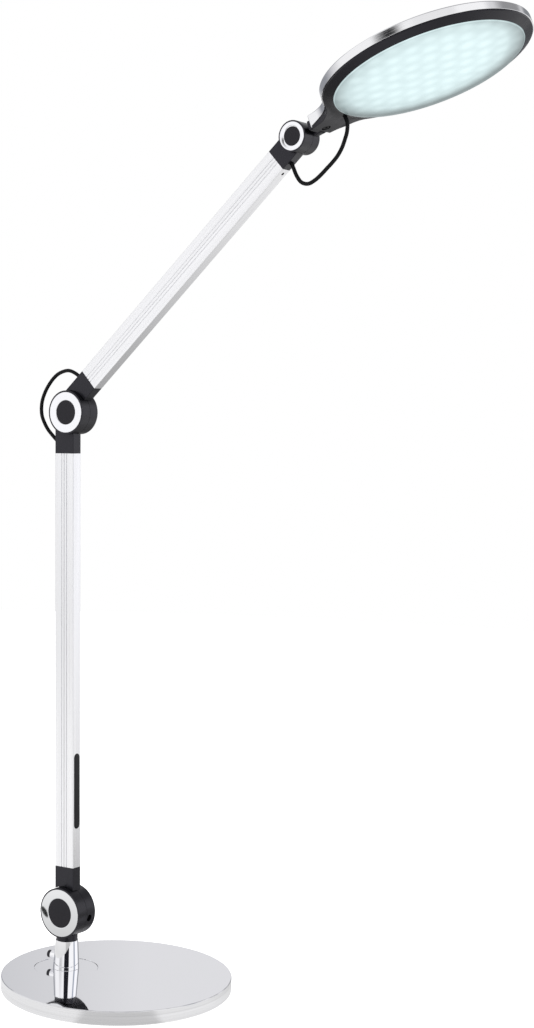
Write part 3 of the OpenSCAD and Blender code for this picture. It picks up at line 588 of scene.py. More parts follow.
# %% Base and swivel plate
BASE_R, BASE_TOP, PAD_T = 110, 14, 1
SHELL_RIM, SHELL_TOP, BASE_EDGE, PLATE_EDGE = 3.5, 4, 0.7, 0.15
PLATE_R, PLATE_TOP, PLATE_LOW, PLATE_SIDE, BUSH_PROUD = 30.5, 13.7, 12.7, 0.3, 0.2
SPINDLE_R, BUSH_R, BUSH_FLANGE_R, BUSH_FLANGE_T = 6.05, 8.05, 14.05, 1.2
base = lathe("base_disc", [
    (0, BASE_TOP), (BASE_R, BASE_TOP), (BASE_R, PAD_T), (BASE_R - SHELL_RIM, PAD_T),
    (BASE_R - SHELL_RIM, BASE_TOP - SHELL_TOP), (0, BASE_TOP - SHELL_TOP),
], BASE_EDGE, FINE)
for seat_r, seat_low in (
    (BUSH_R, 0), (BUSH_FLANGE_R, PLATE_LOW - BUSH_FLANGE_T), (PLATE_R + PLATE_SIDE, PLATE_LOW - BUSH_PROUD),
):
    cut(base, placed(disc(seat_r, seat_low, 2 * BASE_TOP, 0, ROUND), AT_POST))
dress(base, Matrix(), BASE_CHROME, "base", "polished_chrome", "base_shell")

plate = lathe("swivel_disc", [
    (SPINDLE_R, PLATE_LOW), (PLATE_R, PLATE_LOW), (PLATE_R, PLATE_TOP), (SPINDLE_R, PLATE_TOP),
], PLATE_EDGE, ROUND)
dress(plate, AT_POST, CHROME, "post", "polished_chrome", "swivel_plate")

# %% [markdown]
# ## Post and inlet
# The post is a slightly tapered chromed tube. Behind it, a short sleeve holds the power inlet, a black
# socket with a pin in its middle. Everything here is turned, about Z for the post and X for the inlet.

# %% Post, inlet sleeve and socket
POST_FOOT_R, POST_TOP_R, POST_LOW, POST_TOP = 12.6, 10.9, PLATE_TOP, 41.7
SPIGOT_R, SPIGOT_LEN, SPINDLE_TOP, POST_EDGE, SOCKET_EDGE = 7.7, 12, 27.7, 0.35, 0.3
post = lathe("post_tube", [
    (0, SPINDLE_TOP), (SPINDLE_R, SPINDLE_TOP), (SPINDLE_R, POST_LOW), (POST_FOOT_R, POST_LOW),
    (POST_TOP_R, POST_TOP), (SPIGOT_R, POST_TOP), (SPIGOT_R, POST_TOP - SPIGOT_LEN),
    (0, POST_TOP - SPIGOT_LEN),
], POST_EDGE, ROUND)
INLET_Z, SLEEVE_R, SLEEVE_REACH, SLEEVE_SEAT = 23.2, 4.5, 17.6, 8.4
AT_INLET = Matrix.Translation((0, 0, INLET_Z)) @ ALONG_X
cut(post, placed(disc(SLEEVE_R, -SLEEVE_REACH, -SLEEVE_SEAT), AT_INLET))
dress(post, AT_POST, CHROME, "post", "polished_chrome", "post")

SOCKET_R, SOCKET_END, SOCKET_START, BORE_R, BORE_FLOOR = 3.6, -21.7, -10.7, 2.5, -13.7
sleeve = lathe("inlet_collar", [
    (0, -SLEEVE_SEAT), (SLEEVE_R, -SLEEVE_SEAT), (SLEEVE_R, -SLEEVE_REACH), (SOCKET_R, -SLEEVE_REACH),
    (SOCKET_R, SOCKET_START), (0, SOCKET_START),
], POST_EDGE, SMALL)
dress(sleeve, AT_POST @ AT_INLET, CHROME, "post", "polished_chrome", "inlet_sleeve")
socket = lathe("inlet_jack", [
    (0, SOCKET_START), (SOCKET_R, SOCKET_START), (SOCKET_R, SOCKET_END), (BORE_R, SOCKET_END),
    (BORE_R, BORE_FLOOR), (0, BORE_FLOOR),
], SOCKET_EDGE, SMALL)
dress(socket, AT_POST @ AT_INLET, SATIN_BLACK, "post", "satin_black", "inlet_socket")

# %% [markdown]
# ## Knuckles
# All three joints are built alike. The piece below carries the front half of a drum, which is recessed for
# a polished ring and a cap. The piece above carries the rear half, closed by a cap. One function turns each
# half, and the joints differ only in their sizes.

# %% Drums, rings and caps
TRIM_T, RING_PROUD, DRUM_GAP, SWING_GAP = 1.2, 0.4, 0.3, 0.4
TRIM_EDGE, STEM_SINK = 0.25, 0.05
LOWER = {"drum": 24, "half": 12.2, "ring": 22.6, "cap": 13.9, "split": 0, "chamfer": (0.5, 0.4)}
ELBOW = {"drum": 20.7, "half": 11.2, "ring": 19.1, "cap": 11.4, "split": 0, "chamfer": (0.5, 0.4)}
HEAD = {"drum": 13.7, "half": 11.8, "ring": 12.4, "cap": 8.2, "split": 1.2, "chamfer": (1.4, 0.6)}


def half_drum(joint, front):
    """Front half of a drum, recessed for the ring and cap, or rear half, recessed for its cap."""
    side, recess = (-1, joint["ring"]) if front else (1, joint["cap"])
    r, end, face = joint["drum"], side * joint["half"], joint["split"] + side * DRUM_GAP / 2
    seat = end - side * TRIM_T
    profile = [(0, face), (r, face), (r, end), (recess, end), (recess, seat), (0, seat)]
    return placed(turned_solid(profile, 0, ROUND), ALONG_Y)


def swing_room(joint, front):
    """Space in which the other half of the drum turns. A stem stops just inside its own half."""
    reach, inside = 3 * joint["half"], DRUM_GAP / 2 + STEM_SINK
    low, high = (joint["split"] - inside, reach) if front else (-reach, joint["split"] + inside)
    return placed(disc(joint["drum"] + SWING_GAP, low, high, 0, ROUND), ALONG_Y)


def cap(name, cad_name, joint, low, place, body):
    lid = disc(joint["cap"], low, low + TRIM_T, TRIM_EDGE)
    dress(as_object(name, placed(lid, ALONG_Y)), place, CAP_BLACK, body, "cap_black", cad_name)


def trim(name, joint, place, body, metal=RING_ALU):
    """Polished ring and front cap of a joint."""
    half, outer, inner = joint["half"], joint["ring"], joint["cap"]
    face, (wide, deep) = -half - RING_PROUD, joint["chamfer"]
    ring = as_object(name + "_bright_ring", placed(turned_solid(
        [
            (inner, face + deep), (inner + wide, face), (outer, face), (outer, -half + TRIM_T),
            (inner, -half + TRIM_T),
        ],
        TRIM_EDGE, ROUND,
    ), ALONG_Y))
    dress(ring, place, metal, body, "polished_chrome", name + "_ring")
    cap(name + "_front_cap", name + "_cap", joint, -half, place, body)


# The lowest ring takes the darker copy, painted shade.
trim("lower", LOWER, AT_LOWER, "post", LOWER_RING_PAINTED_SHADE_ALU)
trim("elbow", ELBOW, AT_ELBOW, "lower_arm")
trim("head", HEAD, AT_HEAD_AXIS, "upper_arm")
for name, joint, place, body in (
    ("lower", LOWER, AT_LOWER, "lower_arm"), ("elbow", ELBOW, AT_UPPER, "upper_arm"),
    ("head", HEAD, AT_HEAD, "head"),
):
    cap(name + "_back_cap", name + "_rear_cap", joint, joint["half"] - TRIM_T, place, body)

# %% [markdown]
# ## Stems
# Between a drum and an arm's tube is a black stem with the tube's own section, and a plug that goes into
# the tube. The stem is cut away where the other half of the drum turns. The joined solid is then bevelled
# as a whole, so that the line where stem and drum meet is softened too.

# %% Stems of the arms
ARM_W, ARM_D, ARM_WALL, ARM_CORNER = 22.25, 11.25, 1.4, 0.6
PLUG_GAP, PLUG_LEN, OVERLAP, MOULD_EDGE = 0.1, 24, 1, 0.45
LOWER_STEM, LOWER_TUBE, ELBOW_LOW_STEM = 43.5, 397, 39
ELBOW_UP_STEM, UPPER_TUBE, HEAD_STEM = 37.5, 282.5, 27.7
ELBOW_FRONT, ELBOW_ABOVE = 6.4, 7.6
NECK_STEP, STEM_START = 0.6, 3


def long_block(low, high, axis, radius):
    """Box whose four edges along one axis are rounded."""
    bm = block(low, high)
    along = [e for e in bm.edges if abs(e.verts[0].co[axis] - e.verts[1].co[axis]) > OVERLAP]
    bmesh.ops.bevel(bm, geom=along, offset=radius, segments=4, profile=0.5, affect="EDGES", material=-1)
    return bm


def arm_end(x, end):
    """Stem along Z from a drum to a signed length, and the plug beyond it that goes into the tube."""
    way = math.copysign(1, end)
    low, high = sorted((way * STEM_START, end))
    plug_low, plug_high = sorted((end - way * OVERLAP, end + way * PLUG_LEN))
    w, d, inset = ARM_W / 2, ARM_D / 2, ARM_WALL + PLUG_GAP
    return [
        long_block((x - w, -d, low), (x + w, d, high), 2, ARM_CORNER),
        block((x - w + inset, -d + inset, plug_low), (x + w - inset, d - inset, plug_high)),
    ]


def moulding(name, cad_name, joint, front, place, body, additions, cuts=()):
    """One black moulding: half a drum, solids that leave room for the other half, and holes."""
    made = as_object(name, half_drum(joint, front))
    for bm in additions:
        combined(made, cut(as_object("part", bm), swing_room(joint, front)), "UNION")
    for bm in cuts:
        cut(made, bm)
    dress(rounded(made, MOULD_EDGE), place, SATIN_BLACK, body, "satin_black", cad_name)


yoke_low = POST_TOP - joint_at["lower_tilt"].z
moulding(
    "lower_front_drum", "lower_yoke", LOWER, True, turned("lower_tilt", 0), "post",
    [
        disc(POST_TOP_R - NECK_STEP, yoke_low, -STEM_START),
        disc(SPIGOT_R, yoke_low - SPIGOT_LEN, yoke_low + OVERLAP),
    ],
)

GRUB_HOLE_R, GRUB_HOLE_Y, GRUB_DIP, GRUB_FLOOR = 3.4, 3.8, math.radians(11), 16
at_grub = Matrix.Translation((0, GRUB_HOLE_Y, 0)) @ Matrix.Rotation(GRUB_DIP, 4, "Y") @ ALONG_X
moulding(
    "lower_rear_drum", "lower_foot", LOWER, False, AT_LOWER, "lower_arm", arm_end(0, LOWER_STEM),
    [placed(disc(GRUB_HOLE_R, GRUB_FLOOR, 2 * LOWER["drum"], 0, TINY), at_grub)],
)
moulding(
    "elbow_front_drum", "elbow_yoke", ELBOW, True, AT_ELBOW, "lower_arm",
    arm_end(-ELBOW_FRONT, -ELBOW_LOW_STEM), [cable_bore("elbow", AT_ELBOW, *ELBOW_ROUTE[:2])],
)
moulding(
    "elbow_rear_drum", "upper_foot", ELBOW, False, AT_UPPER, "upper_arm",
    arm_end(-ELBOW_ABOVE, ELBOW_UP_STEM), [cable_bore("elbow", AT_UPPER, *ELBOW_ROUTE[:-3:-1])],
)

TUBE_GRUB_R, TUBE_GRUB_LEN, TUBE_GRUB_FROM_END = 1.55, 5, 5


def tube_grub_hole(z):
    return placed(
        disc(TUBE_GRUB_R, ARM_W / 2 - TUBE_GRUB_LEN, ARM_W, 0, TINY), Matrix.Translation((0, 0, z)) @ ALONG_X
    )


moulding(
    "head_front_drum", "head_yoke", HEAD, True, AT_HEAD_AXIS, "upper_arm", arm_end(0, -HEAD_STEM),
    [
        tube_grub_hole(-HEAD_STEM - TUBE_GRUB_FROM_END),
        cable_bore("head_tilt", AT_HEAD_AXIS, HEAD_ROUTE[0], HEAD_ROUTE[2]),
    ],
)

# %% [markdown]
# ## Arm tubes
# The arms are hollow extrusions with three fine grooves on each broad face. The section is drawn once as an
# outline with a hole, filled, and extruded to each length. The lower tube has a slot for the touch strip.

# %% Tubes and touch strip
GROOVE_W, GROOVE_DEPTH, GROOVE_STEP = 0.8, 0.8, 3


def corner_arc(x, y, quarter):
    return arc(x, y, ARM_CORNER, quarter * math.pi / 2, (quarter + 1) * math.pi / 2, 3)


def grooves(y, inwards, way):
    """Points of the grooves along one broad face, in the way that the outline runs."""
    points = []
    for x in (-way * GROOVE_STEP, 0, way * GROOVE_STEP):
        a, b = x - way * GROOVE_W / 2, x + way * GROOVE_W / 2
        points += [(a, y), (a, y + inwards), (b, y + inwards), (b, y)]
    return points


def tube(name, low, length):
    w, d = ARM_W / 2, ARM_D / 2
    cx, cy = w - ARM_CORNER, d - ARM_CORNER
    outline = (
        grooves(-d, GROOVE_DEPTH, 1) + corner_arc(cx, -cy, 3) + corner_arc(cx, cy, 0)
        + grooves(d, -GROOVE_DEPTH, -1) + corner_arc(-cx, cy, 1) + corner_arc(-cx, -cy, 2)
    )
    hx, hy = w - ARM_WALL, d - ARM_WALL
    hollow = [(-hx, -hy), (hx, -hy), (hx, hy), (-hx, hy)]
    bm = bmesh.new()
    edges = []
    for loop in (outline, hollow):
        corners = [bm.verts.new((x, y, low)) for x, y in loop]
        edges += [bm.edges.new(pair) for pair in zip(corners, corners[1:] + corners[:1])]
    bmesh.ops.triangle_fill(bm, use_beauty=True, edges=edges)
    return as_object(name, raised(bm, length))


STRIP_W, STRIP_LEN, STRIP_LOW, STRIP_FIT = 8.2, 72.5, 81, 0.05
STRIP_EDGE, STRIP_CROWN, STRIP_SHOULDER, STRIP_ROUND = 0.05, 0.25, 1.8, 0.2


def strip_bar(r, low, high):
    """Bar with round ends as wide as 2 r, standing out of the tube's front face."""
    span = (STRIP_LEN - STRIP_W) / 2
    ends = arc(span, 0, r, -math.pi / 2, math.pi / 2, 24)
    bm = bmesh.new()
    bm.faces.new([bm.verts.new((x, y, low)) for x, y in ends + [(-x, -y) for x, y in ends]])
    return raised(bm, high - low)


AT_STRIP = Matrix.Translation((0, 0, STRIP_LOW + STRIP_LEN / 2)) @ ALONG_X
front_face = ARM_W / 2
bar = strip_bar(STRIP_W / 2, front_face - ARM_WALL, front_face + STRIP_EDGE)
top = max(bar.faces, key=lambda face: face.calc_center_median().z)
bmesh.ops.inset_region(bar, faces=[top], thickness=STRIP_SHOULDER, depth=STRIP_CROWN)
strip = rounded(as_object("touch_bar", bar), STRIP_ROUND)
dress(strip, AT_LOWER @ AT_STRIP, STRIP_BLACK, "lower_arm", "touch_black", "touch_strip")

lower_tube = tube("lower_arm_tube", LOWER_STEM, LOWER_TUBE)
cut(lower_tube, placed(strip_bar(STRIP_W / 2 + STRIP_FIT, 0, ARM_W), AT_STRIP))
dress(lower_tube, AT_LOWER, LOWER_ALU, "lower_arm", "bright_aluminium", "lower_tube")
upper_tube = tube("upper_arm_tube", ELBOW_UP_STEM, UPPER_TUBE)
cut(upper_tube, tube_grub_hole(ELBOW_UP_STEM + UPPER_TUBE - TUBE_GRUB_FROM_END))
at_upper_tube = AT_UPPER @ Matrix.Translation((-ELBOW_ABOVE, 0, 0))
dress(upper_tube, at_upper_tube, UPPER_ALU, "upper_arm", "bright_aluminium", "upper_tube")

# %% [markdown]
# ## Head: outline
# From below, the head is a disc with a short neck whose sides are hollow arcs, tangent to the disc. Tray and
# cover share that outline, drawn in by different insets, so one function gives any of its loops. All loops
# have the same number of points, which lets neighbours be bridged into skins.

# %% Outline of the head
HEAD_R, GLOW_R = 92.2, 83
NECK_X, NECK_HALF, NECK_CORNER, LEAST_CORNER = 21.5, 15, 1.5, 0.1
END_STEPS, CORNER_STEPS, NECK_STEPS, DISC_STEPS = 8, 4, 20, 150
NECK_SPAN = HEAD_REACH - NECK_X
NECK_FILLET = (NECK_SPAN**2 + NECK_HALF**2 - HEAD_R**2) / (2 * (HEAD_R - NECK_HALF))
NECK_CENTRE_Y = NECK_HALF + NECK_FILLET
NECK_MEET = math.atan2(NECK_CENTRE_Y, NECK_SPAN)


def both_sides(half):
    """Closed loop from its +Y half, whose first and last points are on the middle line."""
    return half + [(x, -y) for x, y in half[-2:0:-1]]


def head_outline(inset):
    r, corner = NECK_FILLET + inset, max(NECK_CORNER - inset, LEAST_CORNER)
    start = -math.acos((inset + corner) / r)
    end_x, corner_y = NECK_X + inset, NECK_CENTRE_Y + r * math.sin(start) - corner
    half = [(end_x, corner_y * i / END_STEPS) for i in range(END_STEPS)]
    half += arc(end_x + corner, corner_y, corner, math.pi, math.pi / 2, CORNER_STEPS)
    half += arc(NECK_X, NECK_CENTRE_Y, r, start, -NECK_MEET, NECK_STEPS)[1:]
    half += arc(HEAD_REACH, 0, HEAD_R - inset, math.pi - NECK_MEET, 0, DISC_STEPS)[1:]
    return both_sides(half)


def lens_ring(r):
    """Circle round the lit face, with as many points as the outline and in step with it."""
    half = arc(HEAD_REACH, 0, r, math.pi, math.pi - NECK_MEET, END_STEPS + CORNER_STEPS + NECK_STEPS)
    half += arc(HEAD_REACH, 0, r, math.pi - NECK_MEET, 0, DISC_STEPS)[1:]
    return both_sides(half)


def skin(name, loops, closed):
    """Solid from loops of points, each bridged to the next. Open ends are capped."""
    bm = bmesh.new()
    rings = []
    for loop in loops:
        corners = [bm.verts.new(point) for point in loop]
        rings.append([bm.edges.new(pair) for pair in zip(corners, corners[1:] + corners[:1])])
    for ring, other in zip(rings, rings[1:] + (rings[:1] if closed else [])):
        bmesh.ops.bridge_loops(bm, edges=ring + other)
    if not closed:
        for ring in (rings[0], rings[-1]):
            bmesh.ops.contextual_create(bm, geom=ring)
    bmesh.ops.recalc_face_normals(bm, faces=bm.faces)
    return as_object(name, bm)


print("points round the head:", len(head_outline(0)), len(lens_ring(GLOW_R)))

# %% [markdown]
# ## Head: cover and tray
# The silver cover is a shallow pan with a rounded top edge. Its rim drops towards the neck, where it hides
# the joint's flange. The black tray closes it from below and stands a little inside the rim, so that the
# rim's lower edge shows as a bright line. It has a sloping bezel round the lit face and a deeper keel under
# the neck, which run into each other with a soft valley.

# %% Cover and tray
SPLIT_Z, COVER_TOP, COVER_T, COVER_ROUND = 1.3, 8.3, 1.5, 1.1
BEZEL_Z, BEZEL_EDGE_Z, TRAY_Z = -4, 0.6, 0.1
KEEL_Z, KEEL_END, RAMP_END, VALLEY = -4.3, 37.5, 62, 1.6
RIM_DIP, RIM_DIP_FROM, RIM_DIP_POWER = 3.6, 43, 1.8
SEAM, TRAY_EDGE, LIP_OUT, LIP_IN, LIP_TOP = 0.15, 0.3, 1.65, 3.15, 4.3
COVER_LOW, TRAY_IN, TRAY_TOP = -0.15, 0.9, -0.2
LENS_GAP = 0.2
LENS_HOLE_R = GLOW_R + LENS_GAP


def rim_z(x):
    """Height of the line between cover and tray, which drops towards the neck's end."""
    share = max(RIM_DIP_FROM - x, 0) / (RIM_DIP_FROM - NECK_X)
    return SPLIT_Z - RIM_DIP * min(share, 1) ** RIM_DIP_POWER


def underside_z(x, y):
    """Height of the tray's underside: the lower of the bezel's cone and the keel, with a soft valley."""
    out = (math.hypot(x - HEAD_REACH, y) - LENS_HOLE_R) / (HEAD_R - LENS_HOLE_R)
    cone = BEZEL_Z + (BEZEL_EDGE_Z - BEZEL_Z) * out
    keel = KEEL_Z + (BEZEL_EDGE_Z - KEEL_Z) * max(x - KEEL_END, 0) / (RAMP_END - KEEL_END)
    near = max(VALLEY - abs(cone - keel), 0) / VALLEY
    return min(cone, keel) - near**2 * VALLEY / 4


def level_loop(inset, z):
    return [(x, y, z) for x, y in head_outline(inset)]


def rim_loop(inset, above):
    return [(x, y, rim_z(x) + above) for x, y in head_outline(inset)]


def under_loop(outline, above=0):
    return [(x, y, underside_z(x, y) + above) for x, y in outline]


def between(first, last, share):
    return [(a + (c - a) * share, b + (d - b) * share) for (a, b), (c, d) in zip(first, last)]


rounding = [
    level_loop(inset, z)
    for inset, z in arc(COVER_ROUND, COVER_TOP - COVER_ROUND, COVER_ROUND, math.pi, math.pi / 2, 6)
]
cover = skin("head_pan", [
    level_loop(COVER_T, COVER_TOP - COVER_T), rim_loop(COVER_T, COVER_LOW), rim_loop(SEAM, COVER_LOW),
    rim_loop(0, COVER_LOW + SEAM), *rounding,
], False)
dress(cover, AT_HEAD, HEAD_ALU, "head", "brushed_aluminium", "head_cover", smooth=40)

under_edge, hole_edge = head_outline(TRAY_IN + TRAY_EDGE), lens_ring(LENS_HOLE_R + TRAY_EDGE)
under_shares = (0, 0.06, 0.18, 0.36, 0.6, 0.84, 1)
under_rings = [under_loop(between(under_edge, hole_edge, share)) for share in under_shares]
tray = skin("head_bezel", [
    rim_loop(TRAY_IN + SEAM, TRAY_TOP), rim_loop(TRAY_IN, TRAY_TOP - SEAM),
    under_loop(head_outline(TRAY_IN), TRAY_EDGE), *under_rings,
    [(x, y, BEZEL_Z + TRAY_EDGE) for x, y in lens_ring(LENS_HOLE_R)],
    [(x, y, TRAY_Z) for x, y in lens_ring(LENS_HOLE_R)],
    level_loop(LIP_IN, TRAY_Z), level_loop(LIP_IN, LIP_TOP), level_loop(LIP_OUT, LIP_TOP),
    rim_loop(LIP_OUT, TRAY_TOP),
], True)
SCREW_SINK_R, SCREW_SEAT_Z, AT_SCREW = 4, -2.3, Matrix.Translation((28, 0, 0))
cut(tray, placed(disc(SCREW_SINK_R, 2 * KEEL_Z, SCREW_SEAT_Z, 0, SMALL), AT_SCREW))
cut(tray, cable_bore("head_tilt", AT_HEAD, HEAD_ROUTE[-1], HEAD_ROUTE[-3]))
dress(tray, AT_HEAD, BEZEL_BLACK, "head", "satin_black", "head_tray", smooth=40)

# %% [markdown]
# ## Head: bracket and diffuser
# The bracket is the rear half of the head's knuckle with a flange that closes the neck, and a tongue inside
# it. The diffuser is a thin milky dome that drops into the bezel from above, with a flange on its edge.

# %% Bracket and diffuser
FLANGE_T, FLANGE_SIDE, FLANGE_LOW, FLANGE_TOP, FLANGE_ROUND = 3.5, 12, -3.5, 5.3, 2
ARM_LOW, ARM_IN = -4.2, 1.8
TONGUE_HALF, TONGUE_TOP, TONGUE_END, TONGUE_HOLE_R = 9, 3.6, 42, 1.7
stem_y = HEAD["split"] + DRUM_GAP / 2 + STEM_SINK
moulding(
    "head_rear_drum", "head_bracket", HEAD, False, AT_HEAD, "head",
    [
        long_block(
            (STEM_START, stem_y, ARM_LOW), (NECK_X - OVERLAP, HEAD["half"] - ARM_IN, HEAD["drum"] / 2),
            0, FLANGE_ROUND,
        ),
        long_block(
            (NECK_X - FLANGE_T, -FLANGE_SIDE, FLANGE_LOW), (NECK_X, FLANGE_SIDE, FLANGE_TOP), 0, FLANGE_ROUND
        ),
        block((NECK_X - OVERLAP, -TONGUE_HALF, TRAY_Z), (TONGUE_END, TONGUE_HALF, TONGUE_TOP)),
    ],
    [placed(disc(TONGUE_HOLE_R, 2 * KEEL_Z, COVER_TOP, 0, TINY), AT_SCREW)],
)

DOME_TOP, DOME_H, DOME_WALL, DOME_FLANGE_R, DOME_FLANGE_Z = -4.1, 3.5, 1.5, 85, 1.5
DOME_STEPS = 12
dome_turns = [math.pi / 2 * i / DOME_STEPS for i in range(DOME_STEPS + 1)]
dome = [(GLOW_R * math.sin(a), DOME_TOP - DOME_H * math.cos(a)) for a in dome_turns]
inside_r = GLOW_R - DOME_WALL
inside = [(inside_r * math.sin(a), DOME_TOP + DOME_WALL - DOME_H * math.cos(a)) for a in dome_turns]
diffuser = as_object("milky_dome", placed(turned_solid(
    [
        *dome, (GLOW_R, TRAY_Z), (DOME_FLANGE_R, TRAY_Z), (DOME_FLANGE_R, DOME_FLANGE_Z),
        (inside_r, DOME_FLANGE_Z), *reversed(inside),
    ],
    0, FINE,
), Matrix.Translation((HEAD_REACH, 0, 0))))
dress(diffuser, AT_HEAD, MILKY, "head", "milky_diffuser", "diffuser", smooth=50)

# %% [markdown]
# ## Pieces inside
# Screws, bolts, washers, the weight and the electronics are simple shapes that hardly show. They keep the
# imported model's shape, and each gets a finish that says what it is made of: iron, steel, nylon or board.

# %% Finishes of the pieces inside
JOINTS, HARDWARE = ("lower", "elbow", "head"), ("bolt", "spring_washer", "nut")
carried = [
    (grained("zinc_steel", (0.56, 0.56, 0.57), 0.32, 800, 0.00002, metallic=1), [
        "cover_screws", "spindle", "swivel_nut", "swivel_washer", "inlet_pin",
        *(f"{joint}_{piece}" for joint in JOINTS for piece in HARDWARE),
    ]),
    (grained("blackened_steel", (0.012, 0.012, 0.013), 0.5, 900, 0.00003, shine=0.2), [
        "drum_grub", "tube_grub", "neck_screw",
    ]),
    (grained("nylon_white", (0.7, 0.69, 0.65), 0.45, 900, 0.00002), [
        "swivel_bush", *(f"{joint}_friction_washer" for joint in JOINTS),
    ]),
    (grained("reflector_white", (0.82, 0.83, 0.83), 0.4, 700, 0.00002), ["reflector", "led_board"]),
    (grained("cast_iron", (0.09, 0.09, 0.095), 0.7, 700, 0.0002, metallic=0.6), ["ballast"]),
    (grained("cover_paint_grey", (0.05, 0.05, 0.053), 0.55, 1100, 0.00005), ["base_cover"]),
    (grained("foot_rubber", (0.02, 0.02, 0.02), 0.8, 1200, 0.0001, shine=0.2), ["base_pad"]),
    (grained("diode_yellow", (0.75, 0.66, 0.3), 0.35, 2000, 0.00001), ["leds"]),
    (grained("thermal_pad_grey", (0.32, 0.33, 0.35), 0.75, 900, 0.00008), ["thermal_pad"]),
    (grained("board_green_lacquer", (0.02, 0.12, 0.05), 0.35, 1500, 0.00001), ["touch_board"]),
]
for material, names in carried:
    for name in names:
        coat(frame["nodes"][name], material)
    print(material.name, "on", ", ".join(names))

# %% [markdown]
# ## Stage
# Polished metal looks like whatever surrounds it, so the studio is drawn as the mirrors should see it. The
# camera sees plain white, and diffuse surfaces get an even light. A mirror sees pale walls with brighter and
# darker patches. A dark gap at the front right gives the post its black stripe. Only light that two mirrors
# have passed on sees that gap, so the base stays bright from behind.

# %% Studio round the lamp
WHITE_LEVEL, EVEN_LEVEL, EDGE = 1.0, 0.5, 0.03
AROUND, ZENITH, ZENITH_FROM = (0.78, 0.78, 0.8), (0.4, 0.4, 0.42), (0.8, 0.95)
to_camera = CAMERA_AT - joint_at["swivel"] * 0.001
CAMERA_WAY = math.degrees(math.atan2(to_camera.x, -to_camera.y))
# Each patch: its way in degrees from the front towards the right, half width and softness in degrees, its
# lowest and highest rise, and its colour.
PATCHES = [
    (-28, 47, 6, -0.9, 0.62, (1.05, 1.05, 1.06)),
    (-113, 20, 10, -0.6, 0.5, (0.32, 0.33, 0.36)),
    (-10, 12, 9, 0.2, 0.39, (0.02, 0.02, 0.022)),
    (84, 25, 5, -0.2, 0.8, (1.08, 1.08, 1.09)),
    (35, 25, 8, 0.47, 0.8, (0.95, 0.95, 0.96)),
    (117, 7, 3, 0, 0.5, (0.38, 0.42, 0.5)),
    (145, 19, 5, -0.9, 0.45, (1.14, 1.14, 1.17)),
    (158, 30, 8, 0.47, 0.9, (0.33, 0.33, 0.34)),
    (187, 13, 5, -0.3, 0.45, (0.25, 0.26, 0.28)),
]
DARK_GAP, GAP_COLOUR = (CAMERA_WAY + 2, 21, 1.5, 0.1, 0.47), (0.015, 0.015, 0.02)
# At the world, Ray Depth counts one more than the mirrors on the way.
TWO_MIRRORS = 2.5


def facing(tree, flat, way, half, soft):
    """1 where a level direction is within a half width of one way, all in degrees, fading to 0 outside."""
    turn = math.radians(way)
    towards = (math.sin(turn), -math.cos(turn), 0)
    start, stop = math.cos(math.radians(half + soft)), math.cos(math.radians(max(half - soft, 0)))
    return spread(tree, vectors(tree, "DOT_PRODUCT", flat, towards), 0, 1, start, stop)


def patch(tree, flat, rise, way, half, soft, low, high):
    """1 inside a patch of the studio, fading to 0 at its edges."""
    above = spread(tree, rise, 0, 1, low - EDGE, low + EDGE)
    below = spread(tree, rise, 1, 0, high - EDGE, high + EDGE)
    across = facing(tree, flat, way, half, soft)
    return maths(tree, "MULTIPLY", across, maths(tree, "MULTIPLY", above, below))


world = bpy.data.worlds.new("studio")
bpy.context.scene.world = world
world.use_nodes = True
tree = world.node_tree
way = node(tree, "ShaderNodeTexCoord").outputs["Generated"]
rise = axes(tree, way)["Z"]
flat = vectors(tree, "NORMALIZE", level(tree, way))
seen = mixed(tree, spread(tree, rise, 0, 1, *ZENITH_FROM), AROUND, ZENITH)
for *place, colour in PATCHES:
    seen = mixed(tree, patch(tree, flat, rise, *place), seen, colour)
rays = node(tree, "ShaderNodeLightPath").outputs
twice = maths(tree, "GREATER_THAN", rays["Ray Depth"], TWO_MIRRORS)
gap = maths(tree, "MULTIPLY", patch(tree, flat, rise, *DARK_GAP), twice)
seen = mixed(tree, gap, seen, GAP_COLOUR)
plain = maths(tree, "MAXIMUM", rays["Is Camera Ray"], rays["Is Transmission Ray"])
even = mixed(tree, rays["Is Glossy Ray"], (EVEN_LEVEL,) * 3, seen)
settle(tree.nodes["Background"], in_Color=mixed(tree, plain, even, (WHITE_LEVEL,) * 3))
bpy.context.scene.view_settings.view_transform = "Standard"
print("studio:", len(tree.nodes), "nodes")

# %% [markdown]
# ## Lights and floor
# A large softbox at the front left and weaker ones at the right and low in front light the satin and diffuse
# surfaces. The floor is a white disc just under the rubber foot. Its glow keeps it white in the picture, and
# it still takes the lamp's soft shadow. In the mirrors it is a glow painted brighter in some places and
# darker in others, as painted light and shade, and a painted dark streak on it shows as a reflection in the
# lower ring.


# %% Lights and floor
def softbox(name, at, look, size, power):
    lamp = bpy.data.lights.new(name, "AREA")
    lamp.energy = power
    lamp.size = size
    made = linked(name, lamp)
    turn = (Vector(look) - Vector(at)).to_track_quat("-Z", "Y").to_matrix().to_4x4()
    made.matrix_world = Matrix.Translation(at) @ turn
    made.visible_glossy = False
    print(name, power, "W")


softbox("key_softbox", (-1.4, -1.9, 1.9), (0, 0, 0.4), 1.6, 45)
softbox("fill_softbox", (2.0, 0.6, 1.5), (0, 0, 0.5), 1.4, 16)
softbox("low_softbox", (0.5, -1.8, 0.25), (0.2, 0, 0.75), 1.2, 10)

FLOOR_R, FLOOR_Z, FLOOR_GLOW = 3000, -0.2, 0.85
